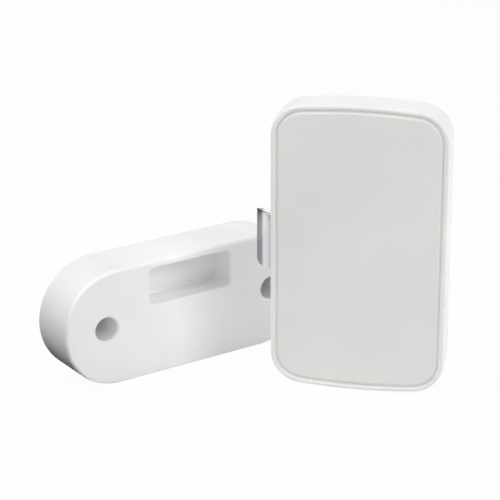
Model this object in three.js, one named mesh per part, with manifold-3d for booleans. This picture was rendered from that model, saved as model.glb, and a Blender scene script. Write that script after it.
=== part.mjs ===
// Motor-driven drawer latch with its separate keeper block.
// Millimetres, +Z up, +Y towards the mounting face, origin at the middle of the lock's flat back.
import * as THREE from 'three';
import { mergeVertices } from 'three/addons/utils/BufferGeometryUtils.js';
import { RoundedBoxGeometry } from 'three/addons/geometries/RoundedBoxGeometry.js';
import Module from 'manifold-3d';

const wasm = await Module();
wasm.setup();

// Clearances
const runGap = 0.3;
const boreGap = 0.15;
const restGap = 0.1;
const touchGap = 0.05;
const bite = 0.2;
const over = 1;

// Lock case
const caseWidth = 56;
const caseHeight = 95;
const caseDepth = 11.5;
const endRadius = 200;
const cornerRadius = 10.4;
const frontEdge = 0.9;
const backEdge = 0.6;
const backWall = 1.5;
const sideWall = 3;
const rimWidth = 2;
const grooveGap = 0.4;
const grooveDepth = 0.55;
const rimRound = 0.85;

// Front panel and the plate behind it
const panelThickness = 1.5;
const panelEdge = 0.45;
const plateThickness = 1;
const pegRadius = 1.3;
const pegFromSide = 6.5;
const pegHeights = [17, -22];
const pegReach = 0.5;

// Latch bolt, measured on the photograph, with the ribs that guide it
const boltHeight = 18.8;
const boltThickness = 5;
const boltSetback = 3.3;
const boltThrow = 5.9;
const boltCorner = 2.2;
const tipFlat = 0.3;
const tipSlope = THREE.MathUtils.degToRad(50);
const frontSlope = THREE.MathUtils.degToRad(33);
const guideRib = 1.2;
const railGap = 1.4;
const railZ = 4.3;
const railEnd = -6;
const shoulderX = -20.5;
const tailEndX = -10.3;
const tailHeight = 12.8;
const channelX = -17;
const channelHeight = 4.6;
const channelRoof = 1.2;
const lugRight = -12.2;
const lugWidth = 2;
const lugLow = 4;
const magnetRadius = 0.95;
const magnetLength = 2;
const magnetY = -5.7;
const magnetZ = -4.35;

// Drive train
const pinionModule = 0.6;
const pinionTeeth = 10;
const wheelModule = 0.5;
const wheelTeeth = 26;
const wheelX = -8.5;
const wheelZ = 16.9;
const wheelFace = 2.6;
const webHoleReach = 4.2;
const wormPitchRadius = 2;
const wormLength = 6.8;
const shaftRadius = 0.8;
const axleRadius = 0.8;
const backlash = 0.22;
const bushRadius = 1.6;
const bushLength = 2.4;
const bushToWorm = 2.15;
const sliderThickness = 1.7;
const sliderLeft = -19;
const sliderRight = -6;
const motorRadius = 3;
const motorY = -5;
const gearboxLength = 7.6;
const capLength = 1.2;
const tagLength = 0.7;
const motorToWall = 0.75;
const cradleLength = 2;
const cradleWall = 0.8;
const cradleRise = [2.5, 3.8];

// Return spring
const springRadius = 1.55;
const springWire = 0.25;
const springTurns = 10;
const seatX = 2.2;
const seatThickness = 2.2;
const rodRadius = 1;
const rodReach = 6.8;

// Cell, board, screws and the wells for the mounting screws, placed from the walls
const cellThickness = 5;
const cellFromSide = 4.8;
const cellFromEnd = 6.2;
const cellToGuide = 0.4;
const cellToBoss = 1.8;
const sealHeight = 2.4;
const padThickness = 0.5;
const padInset = 1;
const boardLeft = 5.2;
const boardToWall = 0.4;
const boardFromTop = 12.5;
const boardFromBottom = 17.5;
const tongueFromBottom = 3.9;
const boardThickness = 1;
const boardLift = 1.2;
const boardScrewInset = [3.2, 3.6];
const portSize = [9, 3.2, 7.3];
const portFromWell = 9.2;
const portSetback = 0.5;
const portWall = 0.35;
const bossRadius = 2.4;
const bossBore = 1;
const bossToPort = 0.9;
const bossToWell = 3.1;
const bossToFoot = 1.5;
const bossHeights = [24, -12.4];
const coverScrewTip = -4;
const wellRadius = 4.8;
const wellBore = 3.9;
const wellFromSide = 10;
const wellFromEnd = 11;
const mountHole = 2.2;
const bayRib = 1;
const bayGap = 1.6;
const bayFront = -6;

// Parts on the board
const chipHalf = 3.5;
const pinReach = 0.9;
const pinHalf = 0.18;
const pinThickness = 0.35;
const chipPlace = [16, -6];
const radioFromTop = 14;
const radioLength = 16.5;
const radioInset = [3.8, 2.6];
const radioThickness = 0.8;
const shieldMargin = 0.8;
const shieldLength = 11.3;
const shieldHeight = 2.3;
const traceDrops = [2.8, 1.4];
const traceWidth = 0.6;
const buzzerPlace = [15.4, -19.6];
const buzzerRadius = 4.3;
const buzzerHeight = 3.2;
const canRadius = 1.9;
const canHeight = 3.9;
const canPlace = [3, -13.2];
const socketSize = [4.4, 3, 5.2];
const socketWays = [1.3, 3.9];
const cellSocketRise = 5.4;
const motorSocketDrop = 10.6;
const leadRadius = 0.45;
const laneRise = [5.4, 4.4];
const laneDrop = [2.3, 4.1];
const keyFromTop = 7;
const keyHalf = 2.6;
const keyRadius = 1.2;

// Keeper block and where it was set down
const keeperLength = 94.4;
const keeperHeight = 39.4;
const keeperThickness = 17.9;
const keeperEdge = 1.2;
const keeperWall = 2.2;
const keeperX = -56.5;
const keeperY = -1.5;
const keeperYaw = THREE.MathUtils.degToRad(46.4);
const recessRadius = 4;
const recessDepth = 11;
const recessSpacing = 64;
const screwHole = 2.15;
const pocketSize = [31.2, 9.1, 12.5];
const pocketTopWall = 2.65;
const pocketCorner = 2;
const webHalf = 0.8;
const middleWebHalf = 4;
const collarWebs = [-6, 0, 5];
const pocketWebs = [9.5, 18.5];
const levelWebs = [-8.2, 0.9];

// Depth levels derived from the sizes above
const frontY = -caseDepth;
const floorY = -backWall;
const panelBack = frontY + panelThickness;
const plateFront = panelBack + runGap;
const plateBack = plateFront + plateThickness;
const ledgeY = plateBack + restGap;
const boltFront = frontY + boltSetback;
const boltBack = boltFront + boltThickness;
const boltTip = -caseWidth / 2 - boltThrow;
const sliderFront = plateBack + runGap;
const sliderBack = sliderFront + sliderThickness;
const wheelFront = motorY - wheelFace / 2;
const wheelBack = motorY + wheelFace / 2;
const pinionRadius = pinionModule * pinionTeeth / 2;
const wheelRadius = wheelModule * wheelTeeth / 2;
const wormX = wheelX + wheelRadius + wormPitchRadius;
const rackZ = wheelZ - pinionRadius;
const boardBack = floorY - boardLift;
const boardFront = boardBack - boardThickness;
const floorZ = -caseHeight / 2;
const portY = boardFront - portSize[1] / 2 - touchGap;
const onBoard = boardFront - touchGap;

// Places derived from the walls
const rimInner = rimWidth - grooveGap / 2;
const guideX = -caseWidth / 2 + sideWall - bite;
const boltRoom = boltHeight / 2 + runGap;
const pegX = caseWidth / 2 - pegFromSide;
const pegPlaces = pegHeights.flatMap((z) => [[-pegX, z], [pegX, z]]);
const wellX = caseWidth / 2 - wellFromSide;
const wellZ = caseHeight / 2 - wellFromEnd;
const wells = [[-wellX, wellZ], [wellX, -wellZ]];
const portX = wellX - portFromWell;
const lowBossX = portX - portSize[0] / 2 - bossToPort - bossRadius;
const coverScrews = [
  [-pegX, bossHeights[0]],
  [wellX - 1, wellZ + bossToWell],
  [lowBossX, -wellZ - bossToFoot],
  [lowBossX, bossHeights[1]],
];
const cellLeft = -caseWidth / 2 + cellFromSide;
const cellRight = lowBossX - bossRadius - cellToBoss;
const cellLow = floorZ + cellFromEnd;
const cellHigh = -boltRoom - guideRib - cellToGuide;
const boardRight = caseWidth / 2 - sideWall - boardToWall;
const boardTop = caseHeight / 2 - boardFromTop;
const boardBottom = floorZ + boardFromBottom;
const tongueRight = wellX - wellRadius - boardToWall;
const tongueBottom = floorZ + tongueFromBottom;
const boardScrewX = boardRight - boardScrewInset[0];
const boardScrews = [
  [boardScrewX, boardTop - boardScrewInset[1]],
  [boardScrewX, boardBottom + boardScrewInset[1]],
];
const keyX = (boardLeft + boardRight) / 2 + restGap;
const keyZ = boardTop - keyFromTop;
const cellSocketZ = boardBottom + cellSocketRise;
const motorSocketZ = boardTop - motorSocketDrop;

// Heights along the worm and motor
const slope = Math.tan(Math.PI / 9);
const rackTip = rackZ + pinionModule - restGap;
const rackRoot = rackZ - pinionModule - boreGap;
const wormLow = rackTip + runGap + touchGap;
const wormHigh = wormLow + wormLength;
const bushHigh = wormLow - bushToWorm;
const bushLow = bushHigh - bushLength;
const gearboxLow = wormHigh + over;
const gearboxHigh = gearboxLow + gearboxLength;
const canLow = gearboxHigh + touchGap;
const tagHigh = caseHeight / 2 - sideWall - motorToWall;
const capHigh = tagHigh - tagLength;
const capLow = capHigh - capLength;
const canHigh = capLow - touchGap;

// Geometry to solid and back
function solid(geometry) {
  const bare = geometry.index ? geometry.toNonIndexed() : geometry.clone();
  const points = new THREE.BufferGeometry().setAttribute('position', bare.getAttribute('position'));
  const merged = mergeVertices(points, 1e-4);
  const made = new wasm.Manifold(new wasm.Mesh({
    numProp: 3,
    vertProperties: merged.attributes.position.array,
    triVerts: new Uint32Array(merged.index.array),
  }));
  return made;
}

function geometryOf(body) {
  const mesh = body.getMesh();
  const geometry = new THREE.BufferGeometry();
  geometry.setAttribute('position', new THREE.BufferAttribute(mesh.vertProperties, 3));
  geometry.setIndex(new THREE.BufferAttribute(mesh.triVerts, 1));
  return geometry;
}

function join(...bodies) {
  return bodies.reduce((sum, body) => sum.add(body));
}

function cut(body, ...tools) {
  return tools.reduce((rest, tool) => rest.subtract(tool), body);
}

// Basic bodies, each given by its limits in the part's frame
function block(x0, x1, y0, y1, z0, z1) {
  const box = new THREE.BoxGeometry(x1 - x0, y1 - y0, z1 - z0);
  return solid(box.translate((x0 + x1) / 2, (y0 + y1) / 2, (z0 + z1) / 2));
}

function softBlock(x0, x1, y0, y1, z0, z1, radius) {
  const box = new RoundedBoxGeometry(x1 - x0, y1 - y0, z1 - z0, 1, radius);
  return solid(box.translate((x0 + x1) / 2, (y0 + y1) / 2, (z0 + z1) / 2));
}

function postY(x, z, radius, y0, y1, sides = 14) {
  const post = new THREE.CylinderGeometry(radius, radius, Math.abs(y1 - y0), sides);
  return solid(post.translate(x, (y0 + y1) / 2, z));
}

function postX(y, z, radius, x0, x1, sides = 14) {
  const post = new THREE.CylinderGeometry(radius, radius, x1 - x0, sides).rotateZ(Math.PI / 2);
  return solid(post.translate((x0 + x1) / 2, y, z));
}

function postZ(x, y, radius, z0, z1, sides = 18) {
  const post = new THREE.CylinderGeometry(radius, radius, z1 - z0, sides).rotateX(Math.PI / 2);
  return solid(post.translate(x, y, (z0 + z1) / 2));
}

// Skin over rings of equal point counts, closed by a flat cap at each end
function loft(rings) {
  const count = rings[0].length;
  const flat = rings[0].map((p) => new THREE.Vector2(p[0], p[2]));
  const way = Math.sign(THREE.ShapeUtils.area(flat));
  const last = (rings.length - 1) * count;
  const index = [];
  rings.slice(1).forEach((ring, row) => {
    for (let i = 0; i < count; i++) {
      const a = row * count + i;
      const b = row * count + (i + 1) % count;
      index.push(a, b, b + count, a, b + count, a + count);
    }
  });
  THREE.ShapeUtils.triangulateShape(flat, []).forEach(([a, b, c]) => {
    const same = Math.sign(THREE.ShapeUtils.area([flat[a], flat[b], flat[c]])) === way;
    const [p, q, r] = same ? [a, b, c] : [c, b, a];
    index.push(r, q, p, last + p, last + q, last + r);
  });
  const geometry = new THREE.BufferGeometry();
  geometry.setAttribute('position', new THREE.Float32BufferAttribute(rings.flat(2), 3));
  const body = solid(geometry.clone().setIndex(index));
  return body.volume() > 0 ? body : solid(geometry.clone().setIndex(index.reverse()));
}

// Case outline, moved in by an offset: bowed short ends, straight long sides, round corners
function caseOutline(offset) {
  const arcZ = caseHeight / 2 - endRadius;
  const cornerX = caseWidth / 2 - cornerRadius;
  const cornerZ = arcZ + Math.sqrt((endRadius - cornerRadius) ** 2 - cornerX ** 2);
  const swing = Math.atan2(cornerX, cornerZ - arcZ);
  const quarter = [];
  for (let i = 0; i < 3; i++) {
    const q = swing * i / 3;
    quarter.push([(endRadius - offset) * Math.sin(q), arcZ + (endRadius - offset) * Math.cos(q)]);
  }
  for (let i = 0; i <= 7; i++) {
    const q = swing + (Math.PI / 2 - swing) * i / 7;
    const reach = cornerRadius - offset;
    quarter.push([cornerX + reach * Math.sin(q), cornerZ + reach * Math.cos(q)]);
  }
  const right = quarter.concat(quarter.map(([x, z]) => [x, -z]).reverse());
  return right.concat(right.slice(1, -1).map(([x, z]) => [-x, z]).reverse());
}

// Stadium outline round the origin, moved in by an offset
function stadiumOutline(length, height, offset) {
  const reach = height / 2 - offset;
  const run = length / 2 - height / 2;
  const points = [];
  for (let i = 0; i <= 18; i++) {
    const q = Math.PI * i / 18;
    points.push([run + reach * Math.sin(q), reach * Math.cos(q)]);
  }
  return points.concat(points.map(([x, z]) => [-x, -z]));
}

// Rectangle with round corners about the origin
function softRectangle(width, height, radius, steps = 4) {
  const points = [];
  for (let corner = 0; corner < 4; corner++) {
    const sx = corner < 2 ? 1 : -1;
    const sz = corner === 0 || corner === 3 ? 1 : -1;
    for (let i = 0; i <= steps; i++) {
      const q = Math.PI / 2 * (corner + i / steps);
      const x = sx * (width / 2 - radius) + radius * Math.sin(q);
      points.push([x, sz * (height / 2 - radius) + radius * Math.cos(q)]);
    }
  }
  return points;
}

// Prism along Y whose two end edges can be rounded
function slab(outline, y0, y1, round0 = 0, round1 = 0, steps = 3) {
  const levels = [];
  for (let i = 0; i <= (round0 ? steps : 0); i++) {
    const q = Math.PI / 2 * (round0 ? i / steps : 1);
    levels.push([y0 + round0 * (1 - Math.sin(q)), round0 ? round0 * (1 - Math.cos(q)) : 0]);
  }
  for (let i = 0; i <= (round1 ? steps : 0); i++) {
    const q = Math.PI / 2 * (round1 ? i / steps : 1);
    levels.push([y1 - round1 * (1 - Math.sin(q)), round1 ? round1 * (1 - Math.cos(q)) : 0]);
  }
  levels.sort((a, b) => a[0] - b[0]);
  return loft(levels.map(([y, offset]) => outline(offset).map(([x, z]) => [x, y, z])));
}

function prism(points, y0, y1, twist0 = 0, twist1 = 0) {
  const turn = (angle) => ([x, z]) => [
    x * Math.cos(angle) + z * Math.sin(angle),
    z * Math.cos(angle) - x * Math.sin(angle),
  ];
  const front = points.map(turn(twist0)).map(([x, z]) => [x, y0, z]);
  const back = points.map(turn(twist1)).map(([x, z]) => [x, y1, z]);
  return loft([front, back]);
}

function uprightPrism(points, x, y, z0, z1) {
  return solid(geometryOf(prism(points, z0, z1)).rotateX(Math.PI / 2).translate(x, y, 0));
}

// Spur outline with involute flanks, the first gap centred on +X turned by a phase
function gearOutline(module, teeth, tip, root, phase) {
  const pitch = module * teeth / 2;
  const base = pitch * Math.cos(Math.PI / 9);
  const flare = (radius) => {
    const slant = Math.acos(Math.min(1, base / radius));
    return Math.tan(slant) - slant;
  };
  const half = Math.PI / (2 * teeth) - backlash / (2 * pitch) + flare(pitch);
  const radii = [root, (base + pitch) / 2, tip];
  const points = [];
  for (let tooth = 0; tooth < teeth; tooth++) {
    const middle = phase + Math.PI * (2 * tooth + 1) / teeth;
    const flank = radii.map((r) => [r, half - flare(Math.max(r, base))]);
    flank.forEach(([r, a]) => points.push([r * Math.cos(middle - a), r * Math.sin(middle - a)]));
    flank.reverse();
    flank.forEach(([r, a]) => points.push([r * Math.cos(middle + a), r * Math.sin(middle + a)]));
  }
  return points;
}

// Round bar of a given radius bent along a smooth path
function wire(points, radius, sides = 6, steps = 14) {
  const path = new THREE.CatmullRomCurve3(points.map((p) => new THREE.Vector3(...p)));
  const section = new THREE.Shape();
  for (let i = 0; i < sides; i++) {
    const q = 2 * Math.PI * i / sides;
    if (i === 0) section.moveTo(radius, 0);
    else section.lineTo(radius * Math.cos(q), radius * Math.sin(q));
  }
  const bar = new THREE.ExtrudeGeometry(section, { steps, extrudePath: path, bevelEnabled: false });
  return solid(bar);
}

// Screw with a pan head and a cross slot, head towards the front
function screw(x, z, headFront, headBack, tipY, headRadius, shankRadius) {
  const profile = [
    new THREE.Vector2(0, tipY),
    new THREE.Vector2(shankRadius * 0.4, tipY),
    new THREE.Vector2(shankRadius, tipY - 0.6),
    new THREE.Vector2(shankRadius, headBack),
    new THREE.Vector2(headRadius, headBack),
    new THREE.Vector2(headRadius, headFront + 0.3),
    new THREE.Vector2(headRadius - 0.4, headFront),
    new THREE.Vector2(0, headFront),
  ];
  const turned = solid(new THREE.LatheGeometry(profile.reverse(), 12).translate(x, 0, z));
  const deep = headFront + 0.45;
  const slotA = block(x - 1.1, x + 1.1, headFront - 1, deep, z - 0.22, z + 0.22);
  const slotB = block(x - 0.22, x + 0.22, headFront - 1, deep, z - 1.1, z + 1.1);
  return cut(turned, slotA, slotB);
}

const root = new THREE.Group();

function place(name, body, color, roughness, metalness) {
  const material = new THREE.MeshStandardMaterial({ color, roughness, metalness });
  const mesh = new THREE.Mesh(geometryOf(body), material);
  mesh.name = name;
  root.add(mesh);
}

// Rear case: a tray with a ledge for the plate, wells, bosses, rails and cradles
const trayShell = slab(caseOutline, frontY, 0, frontEdge, backEdge);
const mouthLevels = [[frontY - over, rimInner - rimRound]];
for (let i = 0; i <= 3; i++) {
  const q = Math.PI / 2 * i / 3;
  mouthLevels.push([frontY + rimRound * (1 - Math.cos(q)), rimInner - rimRound * (1 - Math.sin(q))]);
}
mouthLevels.push([ledgeY, rimInner]);
const trayMouth = loft(mouthLevels.map(([y, inset]) => caseOutline(inset).map(([x, z]) => [x, y, z])));
const trayRoom = slab((inset) => caseOutline(sideWall + inset), ledgeY - bite, floorY);
const tray = cut(trayShell, trayMouth, trayRoom);

const deep = floorY + bite;
const railFront = boltBack + runGap;
const bayX = -wellX + wellRadius + bayGap;
const bayZ = wellZ - wellRadius - bayGap;
const seatHalf = 4.5;
const ribs = [
  block(guideX, -13, boltFront - bite, deep, -boltRoom - guideRib, -boltRoom),
  block(guideX, -14, sliderBack + bite, deep, boltRoom, boltRoom + guideRib),
  block(guideX, railEnd, railFront, deep, railZ, railZ + railGap),
  block(guideX, railEnd, railFront, deep, -railZ - railGap, -railZ),
  block(seatX, seatX + seatThickness, boltFront - bite, deep, -seatHalf, seatHalf),
  block(guideX, bayX + bayRib, bayFront, deep, bayZ - bayRib, bayZ),
  block(bayX, bayX + bayRib, bayFront, deep, bayZ - bayRib, tagHigh + 0.9),
];
const bushBlock = block(wormX - bushRadius - cradleWall, wormX + bushRadius + cradleWall,
  sliderBack + runGap + restGap, deep, bushLow - restGap, bushHigh + restGap);
const motorStop = block(wormX - 2, wormX + 2, motorY + 1.5, deep, tagHigh - touchGap, tagHigh + 0.95);
const cradleHalf = motorRadius + cradleWall;
const cradles = [gearboxLow + cradleRise[0], canLow + cradleRise[1]].map((z) => cut(
  block(wormX - cradleHalf, wormX + cradleHalf, motorY, deep, z, z + cradleLength),
  postZ(wormX, motorY, motorRadius + boreGap, z - over, z + cradleLength + over),
));
const bossFront = plateBack + 0.9;
const bosses = coverScrews.map(([x, z]) => postY(x, z, bossRadius, bossFront, deep));
const standoffFront = boardBack + touchGap;
const standoffs = boardScrews.map(([x, z]) => postY(x, z, 1.9, standoffFront, deep));
const boardRests = [12, -8].map((z) => postY(boardLeft + 2.8, z, 1.5, standoffFront, deep));
const wellTubes = wells.map(([x, z]) => postY(x, z, wellRadius, ledgeY, deep, 24));
const axleBoss = postY(wheelX, wheelZ, 2.2, wheelBack + runGap, deep);
const fullCase = join(tray, ...ribs, bushBlock, motorStop, ...cradles, ...bosses, ...standoffs,
  ...boardRests, ...wellTubes, axleBoss);

const boltSlot = block(-caseWidth / 2 - over, guideX + bite + restGap, boltFront - runGap, railFront,
  -boltRoom, boltRoom);
const portMouth = softRectangle(portSize[0] + 2 * runGap, portSize[1] + 2 * runGap, portSize[1] / 2 + bite);
const caseHoles = [
  boltSlot,
  uprightPrism(portMouth, portX, portY, floorZ - over, floorZ + sideWall + over),
  postZ(wormX, motorY, bushRadius + restGap, bushLow - bite, bushHigh + bite),
  postX(motorY, 0, rodRadius + restGap, seatX - over, seatX + seatThickness - runGap),
  postY(wheelX, wheelZ, axleRadius + restGap, wheelBack - over, floorY - bite),
  ...coverScrews.map(([x, z]) => postY(x, z, bossBore, bossFront - over, floorY - 1.9)),
  ...boardScrews.map(([x, z]) => postY(x, z, 0.9, boardBack - over, floorY - restGap)),
  ...wells.map(([x, z]) => postY(x, z, wellBore, plateBack - over, floorY, 24)),
  ...wells.map(([x, z]) => postY(x, z, mountHole, floorY - over, over, 18)),
];
place('rear_case', cut(fullCase, ...caseHoles), 0xf4f3f1, 0.38, 0);

// Front panel with its push-in pegs; a low flange round it makes the floor of the groove
const panelOutline = (inset) => caseOutline(rimWidth + grooveGap / 2 + inset);
const panelSkin = slab(panelOutline, frontY, panelBack, panelEdge, 0);
const flangeOutline = (inset) => caseOutline(rimInner + boreGap + inset);
const panelFlange = slab(flangeOutline, frontY + grooveDepth, panelBack);
const pegs = pegPlaces.map(([x, z]) => postY(x, z, pegRadius, panelBack - bite, plateBack + pegReach));
place('front_panel', join(panelSkin, panelFlange, ...pegs), 0xd6d5d2, 0.55, 0);

// Inner plate over the works
const plateOutline = (inset) => caseOutline(rimInner + runGap + inset);
let plate = slab(plateOutline, plateFront, plateBack);
const dimples = coverScrews.map(([x, z]) => postY(x, z, 3, plateFront + bite, bossFront - restGap));
plate = join(plate, ...dimples);
const headRadius = 1.9;
const plateHoles = [
  ...coverScrews.map(([x, z]) => postY(x, z, headRadius + runGap, plateFront - over, plateBack)),
  ...coverScrews.map(([x, z]) => postY(x, z, bossBore + boreGap, plateFront - over, plateBack + 2)),
  ...pegPlaces.map(([x, z]) => postY(x, z, pegRadius + boreGap, plateFront - over, plateBack + over)),
  ...wells.map(([x, z]) => postY(x, z, wellBore, plateFront - over, plateBack + over, 24)),
  postY(keyX, keyZ, keyRadius + 0.5, plateFront - over, plateBack + over),
];
place('inner_plate', cut(plate, ...plateHoles), 0xe3e2df, 0.55, 0);

coverScrews.forEach(([x, z], i) => {
  const body = screw(x, z, plateFront + restGap, plateBack - touchGap, coverScrewTip, headRadius,
    bossBore - restGap);
  place(`cover_screw_${i + 1}`, body, 0xb9bcc0, 0.32, 1);
});

// Latch bolt: head with a gently rounded bevel, tail with a spring channel, drive notch, magnet pocket
const noseOutline = [[boltTip, boltBack]];
const noseSteps = 6;
let noseX = boltTip;
let noseY = boltBack - tipFlat;
for (let i = 0; i < noseSteps; i++) {
  noseOutline.push([noseX, noseY]);
  const lean = tipSlope + (frontSlope - tipSlope) * (i + 0.5) / noseSteps;
  const drop = (boltThickness - tipFlat) / noseSteps;
  noseX += drop / Math.tan(lean);
  noseY -= drop;
}
noseOutline.push([noseX, boltFront], [shoulderX, boltFront], [shoulderX, boltBack]);
const headSide = solid(new THREE.ExtrudeGeometry(
  new THREE.Shape(noseOutline.map(([x, y]) => new THREE.Vector2(x, y))),
  { depth: boltHeight, bevelEnabled: false },
).translate(0, 0, -boltHeight / 2));
const boltLow = -boltHeight / 2;
const headFace = [[shoulderX + over, boltHeight / 2 + over], [boltTip - over, boltHeight / 2 + over]];
headFace.push([boltTip - over, boltLow + boltCorner]);
for (let i = 0; i <= 6; i++) {
  const q = Math.PI / 2 * i / 6;
  headFace.push([boltTip + boltCorner * (1 - Math.cos(q)), boltLow + boltCorner * (1 - Math.sin(q))]);
}
headFace.push([shoulderX + over, boltLow]);
const headTrim = prism(headFace, boltFront - over, boltBack + over);
const tail = block(shoulderX - bite, tailEndX, boltFront, boltBack, -tailHeight / 2, tailHeight / 2);
const springRoom = block(channelX, tailEndX + over, boltFront + channelRoof, boltBack + over,
  -channelHeight / 2, channelHeight / 2);
const notch = block(shoulderX, lugRight + runGap, boltFront - over, sliderBack + runGap, lugLow - bite,
  tailHeight);
const magnetPocket = postX(magnetY, magnetZ, magnetRadius + restGap,
  tailEndX - magnetLength - 2 * restGap, tailEndX + over);
const bolt = cut(join(headSide.intersect(headTrim), tail), springRoom, notch, magnetPocket);
place('latch_bolt', bolt, 0xc9cacd, 0.16, 1);
const magnet = postX(magnetY, magnetZ, magnetRadius, tailEndX - magnetLength - restGap, tailEndX - restGap);
place('bolt_magnet', magnet, 0x8d9095, 0.3, 1);

// Drive slider: toothed bar with a lug that reaches into the bolt's notch
const rackPitch = Math.PI * pinionModule;
const barLow = boltRoom + restGap;
const rackLine = [[sliderRight, barLow], [sliderRight, rackRoot]];
const rackHalf = rackPitch / 4 - backlash / 2;
for (let k = 1; k > -6; k--) {
  const middle = wheelX + rackPitch * k;
  const foot = rackHalf + slope * (rackZ - rackRoot);
  const crest = rackHalf - slope * (rackTip - rackZ);
  if (middle + foot > sliderRight || middle - foot < sliderLeft) continue;
  rackLine.push([middle + foot, rackRoot], [middle + crest, rackTip]);
  rackLine.push([middle - crest, rackTip], [middle - foot, rackRoot]);
}
rackLine.push([sliderLeft, rackRoot], [sliderLeft, barLow]);
const sliderBar = prism(rackLine, sliderFront, sliderBack);
const lug = block(lugRight - lugWidth, lugRight, sliderFront, sliderBack, lugLow, barLow + 0.5);
place('drive_slider', join(sliderBar, lug), 0xe9e4d6, 0.5, 0);

// Compound wheel: helical worm wheel with the pinion on its front face
const lean = wheelModule / (2 * wormPitchRadius) / wheelRadius;
const wheelRim = prism(
  gearOutline(wheelModule, wheelTeeth, wheelRadius + 0.4, wheelRadius - 0.7, 0),
  wheelFront, wheelBack, -lean * wheelFace / 2, lean * wheelFace / 2,
);
const pinionPhase = -Math.PI / 2;
const pinionRing = prism(
  gearOutline(pinionModule, pinionTeeth, pinionRadius + 0.5, pinionRadius - 0.75, pinionPhase),
  sliderFront, wheelFront + bite,
);
const wheelWeb = [0, 1, 2, 3].map((i) => {
  const q = Math.PI / 4 + Math.PI / 2 * i;
  return postY(webHoleReach * Math.cos(q), webHoleReach * Math.sin(q), 1, wheelFront + 1.2, wheelBack + over);
});
const wheelBody = cut(
  join(wheelRim, pinionRing),
  postY(0, 0, axleRadius + boreGap, sliderFront - over, wheelBack + over, 20),
  ...wheelWeb,
);
const wheelGeometry = geometryOf(wheelBody).translate(wheelX, 0, wheelZ);
place('worm_wheel', solid(wheelGeometry), 0xece8dc, 0.48, 0);
const axle = postY(wheelX, wheelZ, axleRadius, sliderFront, floorY - runGap);
place('wheel_axle', axle, 0xb4b7bb, 0.25, 1);

// Worm on its shaft: the radius follows a trapezium that climbs one pitch a turn
const wormPitch = Math.PI * wheelModule;
const wormTip = wormPitchRadius + 0.42;
const wormRoot = wormPitchRadius - 0.7;
function wormRadius(angle, z) {
  const turns = (z - wheelZ) / wormPitch - (angle - Math.PI) / (2 * Math.PI);
  const away = Math.abs(turns - Math.round(turns)) * wormPitch;
  const half = wormPitch / 4 - backlash / 2;
  const height = wormPitchRadius + (half - away) / slope;
  return Math.min(wormTip, Math.max(wormRoot, height));
}
const wormRings = [];
const wormSides = 16;
const wormRows = 36;
for (let row = 0; row <= wormRows; row++) {
  const z = wormLow + wormLength * row / wormRows;
  const ring = [];
  for (let i = 0; i < wormSides; i++) {
    const q = 2 * Math.PI * i / wormSides;
    const r = row === 0 || row === wormRows ? wormRoot : wormRadius(q, z);
    ring.push([r * Math.cos(q), -z, r * Math.sin(q)]);
  }
  wormRings.push(ring);
}
const wormThread = solid(geometryOf(loft(wormRings)).rotateX(-Math.PI / 2).translate(wormX, motorY, 0));
const shaft = postZ(wormX, motorY, shaftRadius, bushLow - runGap, gearboxLow + 1.6, 16);
place('worm_shaft', join(wormThread, shaft), 0xb59a5b, 0.3, 1);
const bush = cut(
  postZ(wormX, motorY, bushRadius, bushLow, bushHigh),
  postZ(wormX, motorY, shaftRadius + boreGap, bushLow - over, bushHigh + over, 16),
);
place('worm_bush', bush, 0xa9793f, 0.42, 1);

// Gearbox, motor can with two flats, and the end cap with its tags
const gearboxSeams = [0.35, 0.7].map((share) => {
  const seam = gearboxLow + gearboxLength * share;
  return cut(
    postZ(wormX, motorY, motorRadius + over, seam - boreGap, seam + boreGap),
    postZ(wormX, motorY, motorRadius - bite, gearboxLow, gearboxHigh),
  );
});
const gearboxBody = cut(
  join(
    postZ(wormX, motorY, motorRadius, gearboxLow, gearboxHigh),
    postZ(wormX, motorY, bushRadius, gearboxLow - over / 2, gearboxLow + bite, 20),
  ),
  postZ(wormX, motorY, shaftRadius + boreGap, gearboxLow - over, gearboxLow + 1.8, 16),
  ...gearboxSeams,
);
place('gearbox', gearboxBody, 0x9c9fa4, 0.35, 1);
const canFlat = motorRadius - 0.25;
const canFlats = [[-canFlat - over, -canFlat], [canFlat, canFlat + over]].map(([x0, x1]) => block(
  wormX + x0, wormX + x1, motorY - 2 * motorRadius, motorY + 2 * motorRadius, canLow + over, canHigh - 0.6,
));
place('motor_can', cut(postZ(wormX, motorY, motorRadius, canLow, canHigh), ...canFlats), 0xc2c5c9, 0.28, 1);
const tags = [-1.2, 1.2].map((x) => block(
  wormX + x - 0.5, wormX + x + 0.5, motorY - bite, motorY + bite, capHigh - bite, tagHigh,
));
const endCap = join(postZ(wormX, motorY, motorRadius - bite, capLow, capHigh), ...tags);
place('motor_cap', endCap, 0x2c2d30, 0.5, 0);

// Return spring round its rod, one unbroken tube from the bolt's channel to the seat
const springStart = channelX + springWire + restGap;
const springEnd = seatX - springWire - restGap;
const springPath = [];
const springSteps = 8;
for (let i = 0; i <= springTurns * springSteps; i++) {
  const q = 2 * Math.PI * i / springSteps;
  const x = springStart + (springEnd - springStart) * i / (springTurns * springSteps);
  springPath.push([x, motorY + springRadius * Math.cos(q), springRadius * Math.sin(q)]);
}
let leastGap = Infinity;
springPath.forEach((p, i) => {
  springPath.slice(i + springSteps / 2).forEach((r) => {
    const apart = Math.hypot(p[0] - r[0], p[1] - r[1], p[2] - r[2]) - 2 * springWire;
    leastGap = Math.min(leastGap, apart);
  });
});
console.log(`return spring: least gap to itself ${leastGap.toFixed(2)} mm`);
place('return_spring', wire(springPath, springWire, 5, springTurns * springSteps), 0xa7abb0, 0.3, 1);
const rod = postX(motorY, 0, rodRadius, seatX - rodReach, seatX + seatThickness - runGap - restGap);
place('spring_rod', rod, 0xb4b7bb, 0.25, 1);

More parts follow.
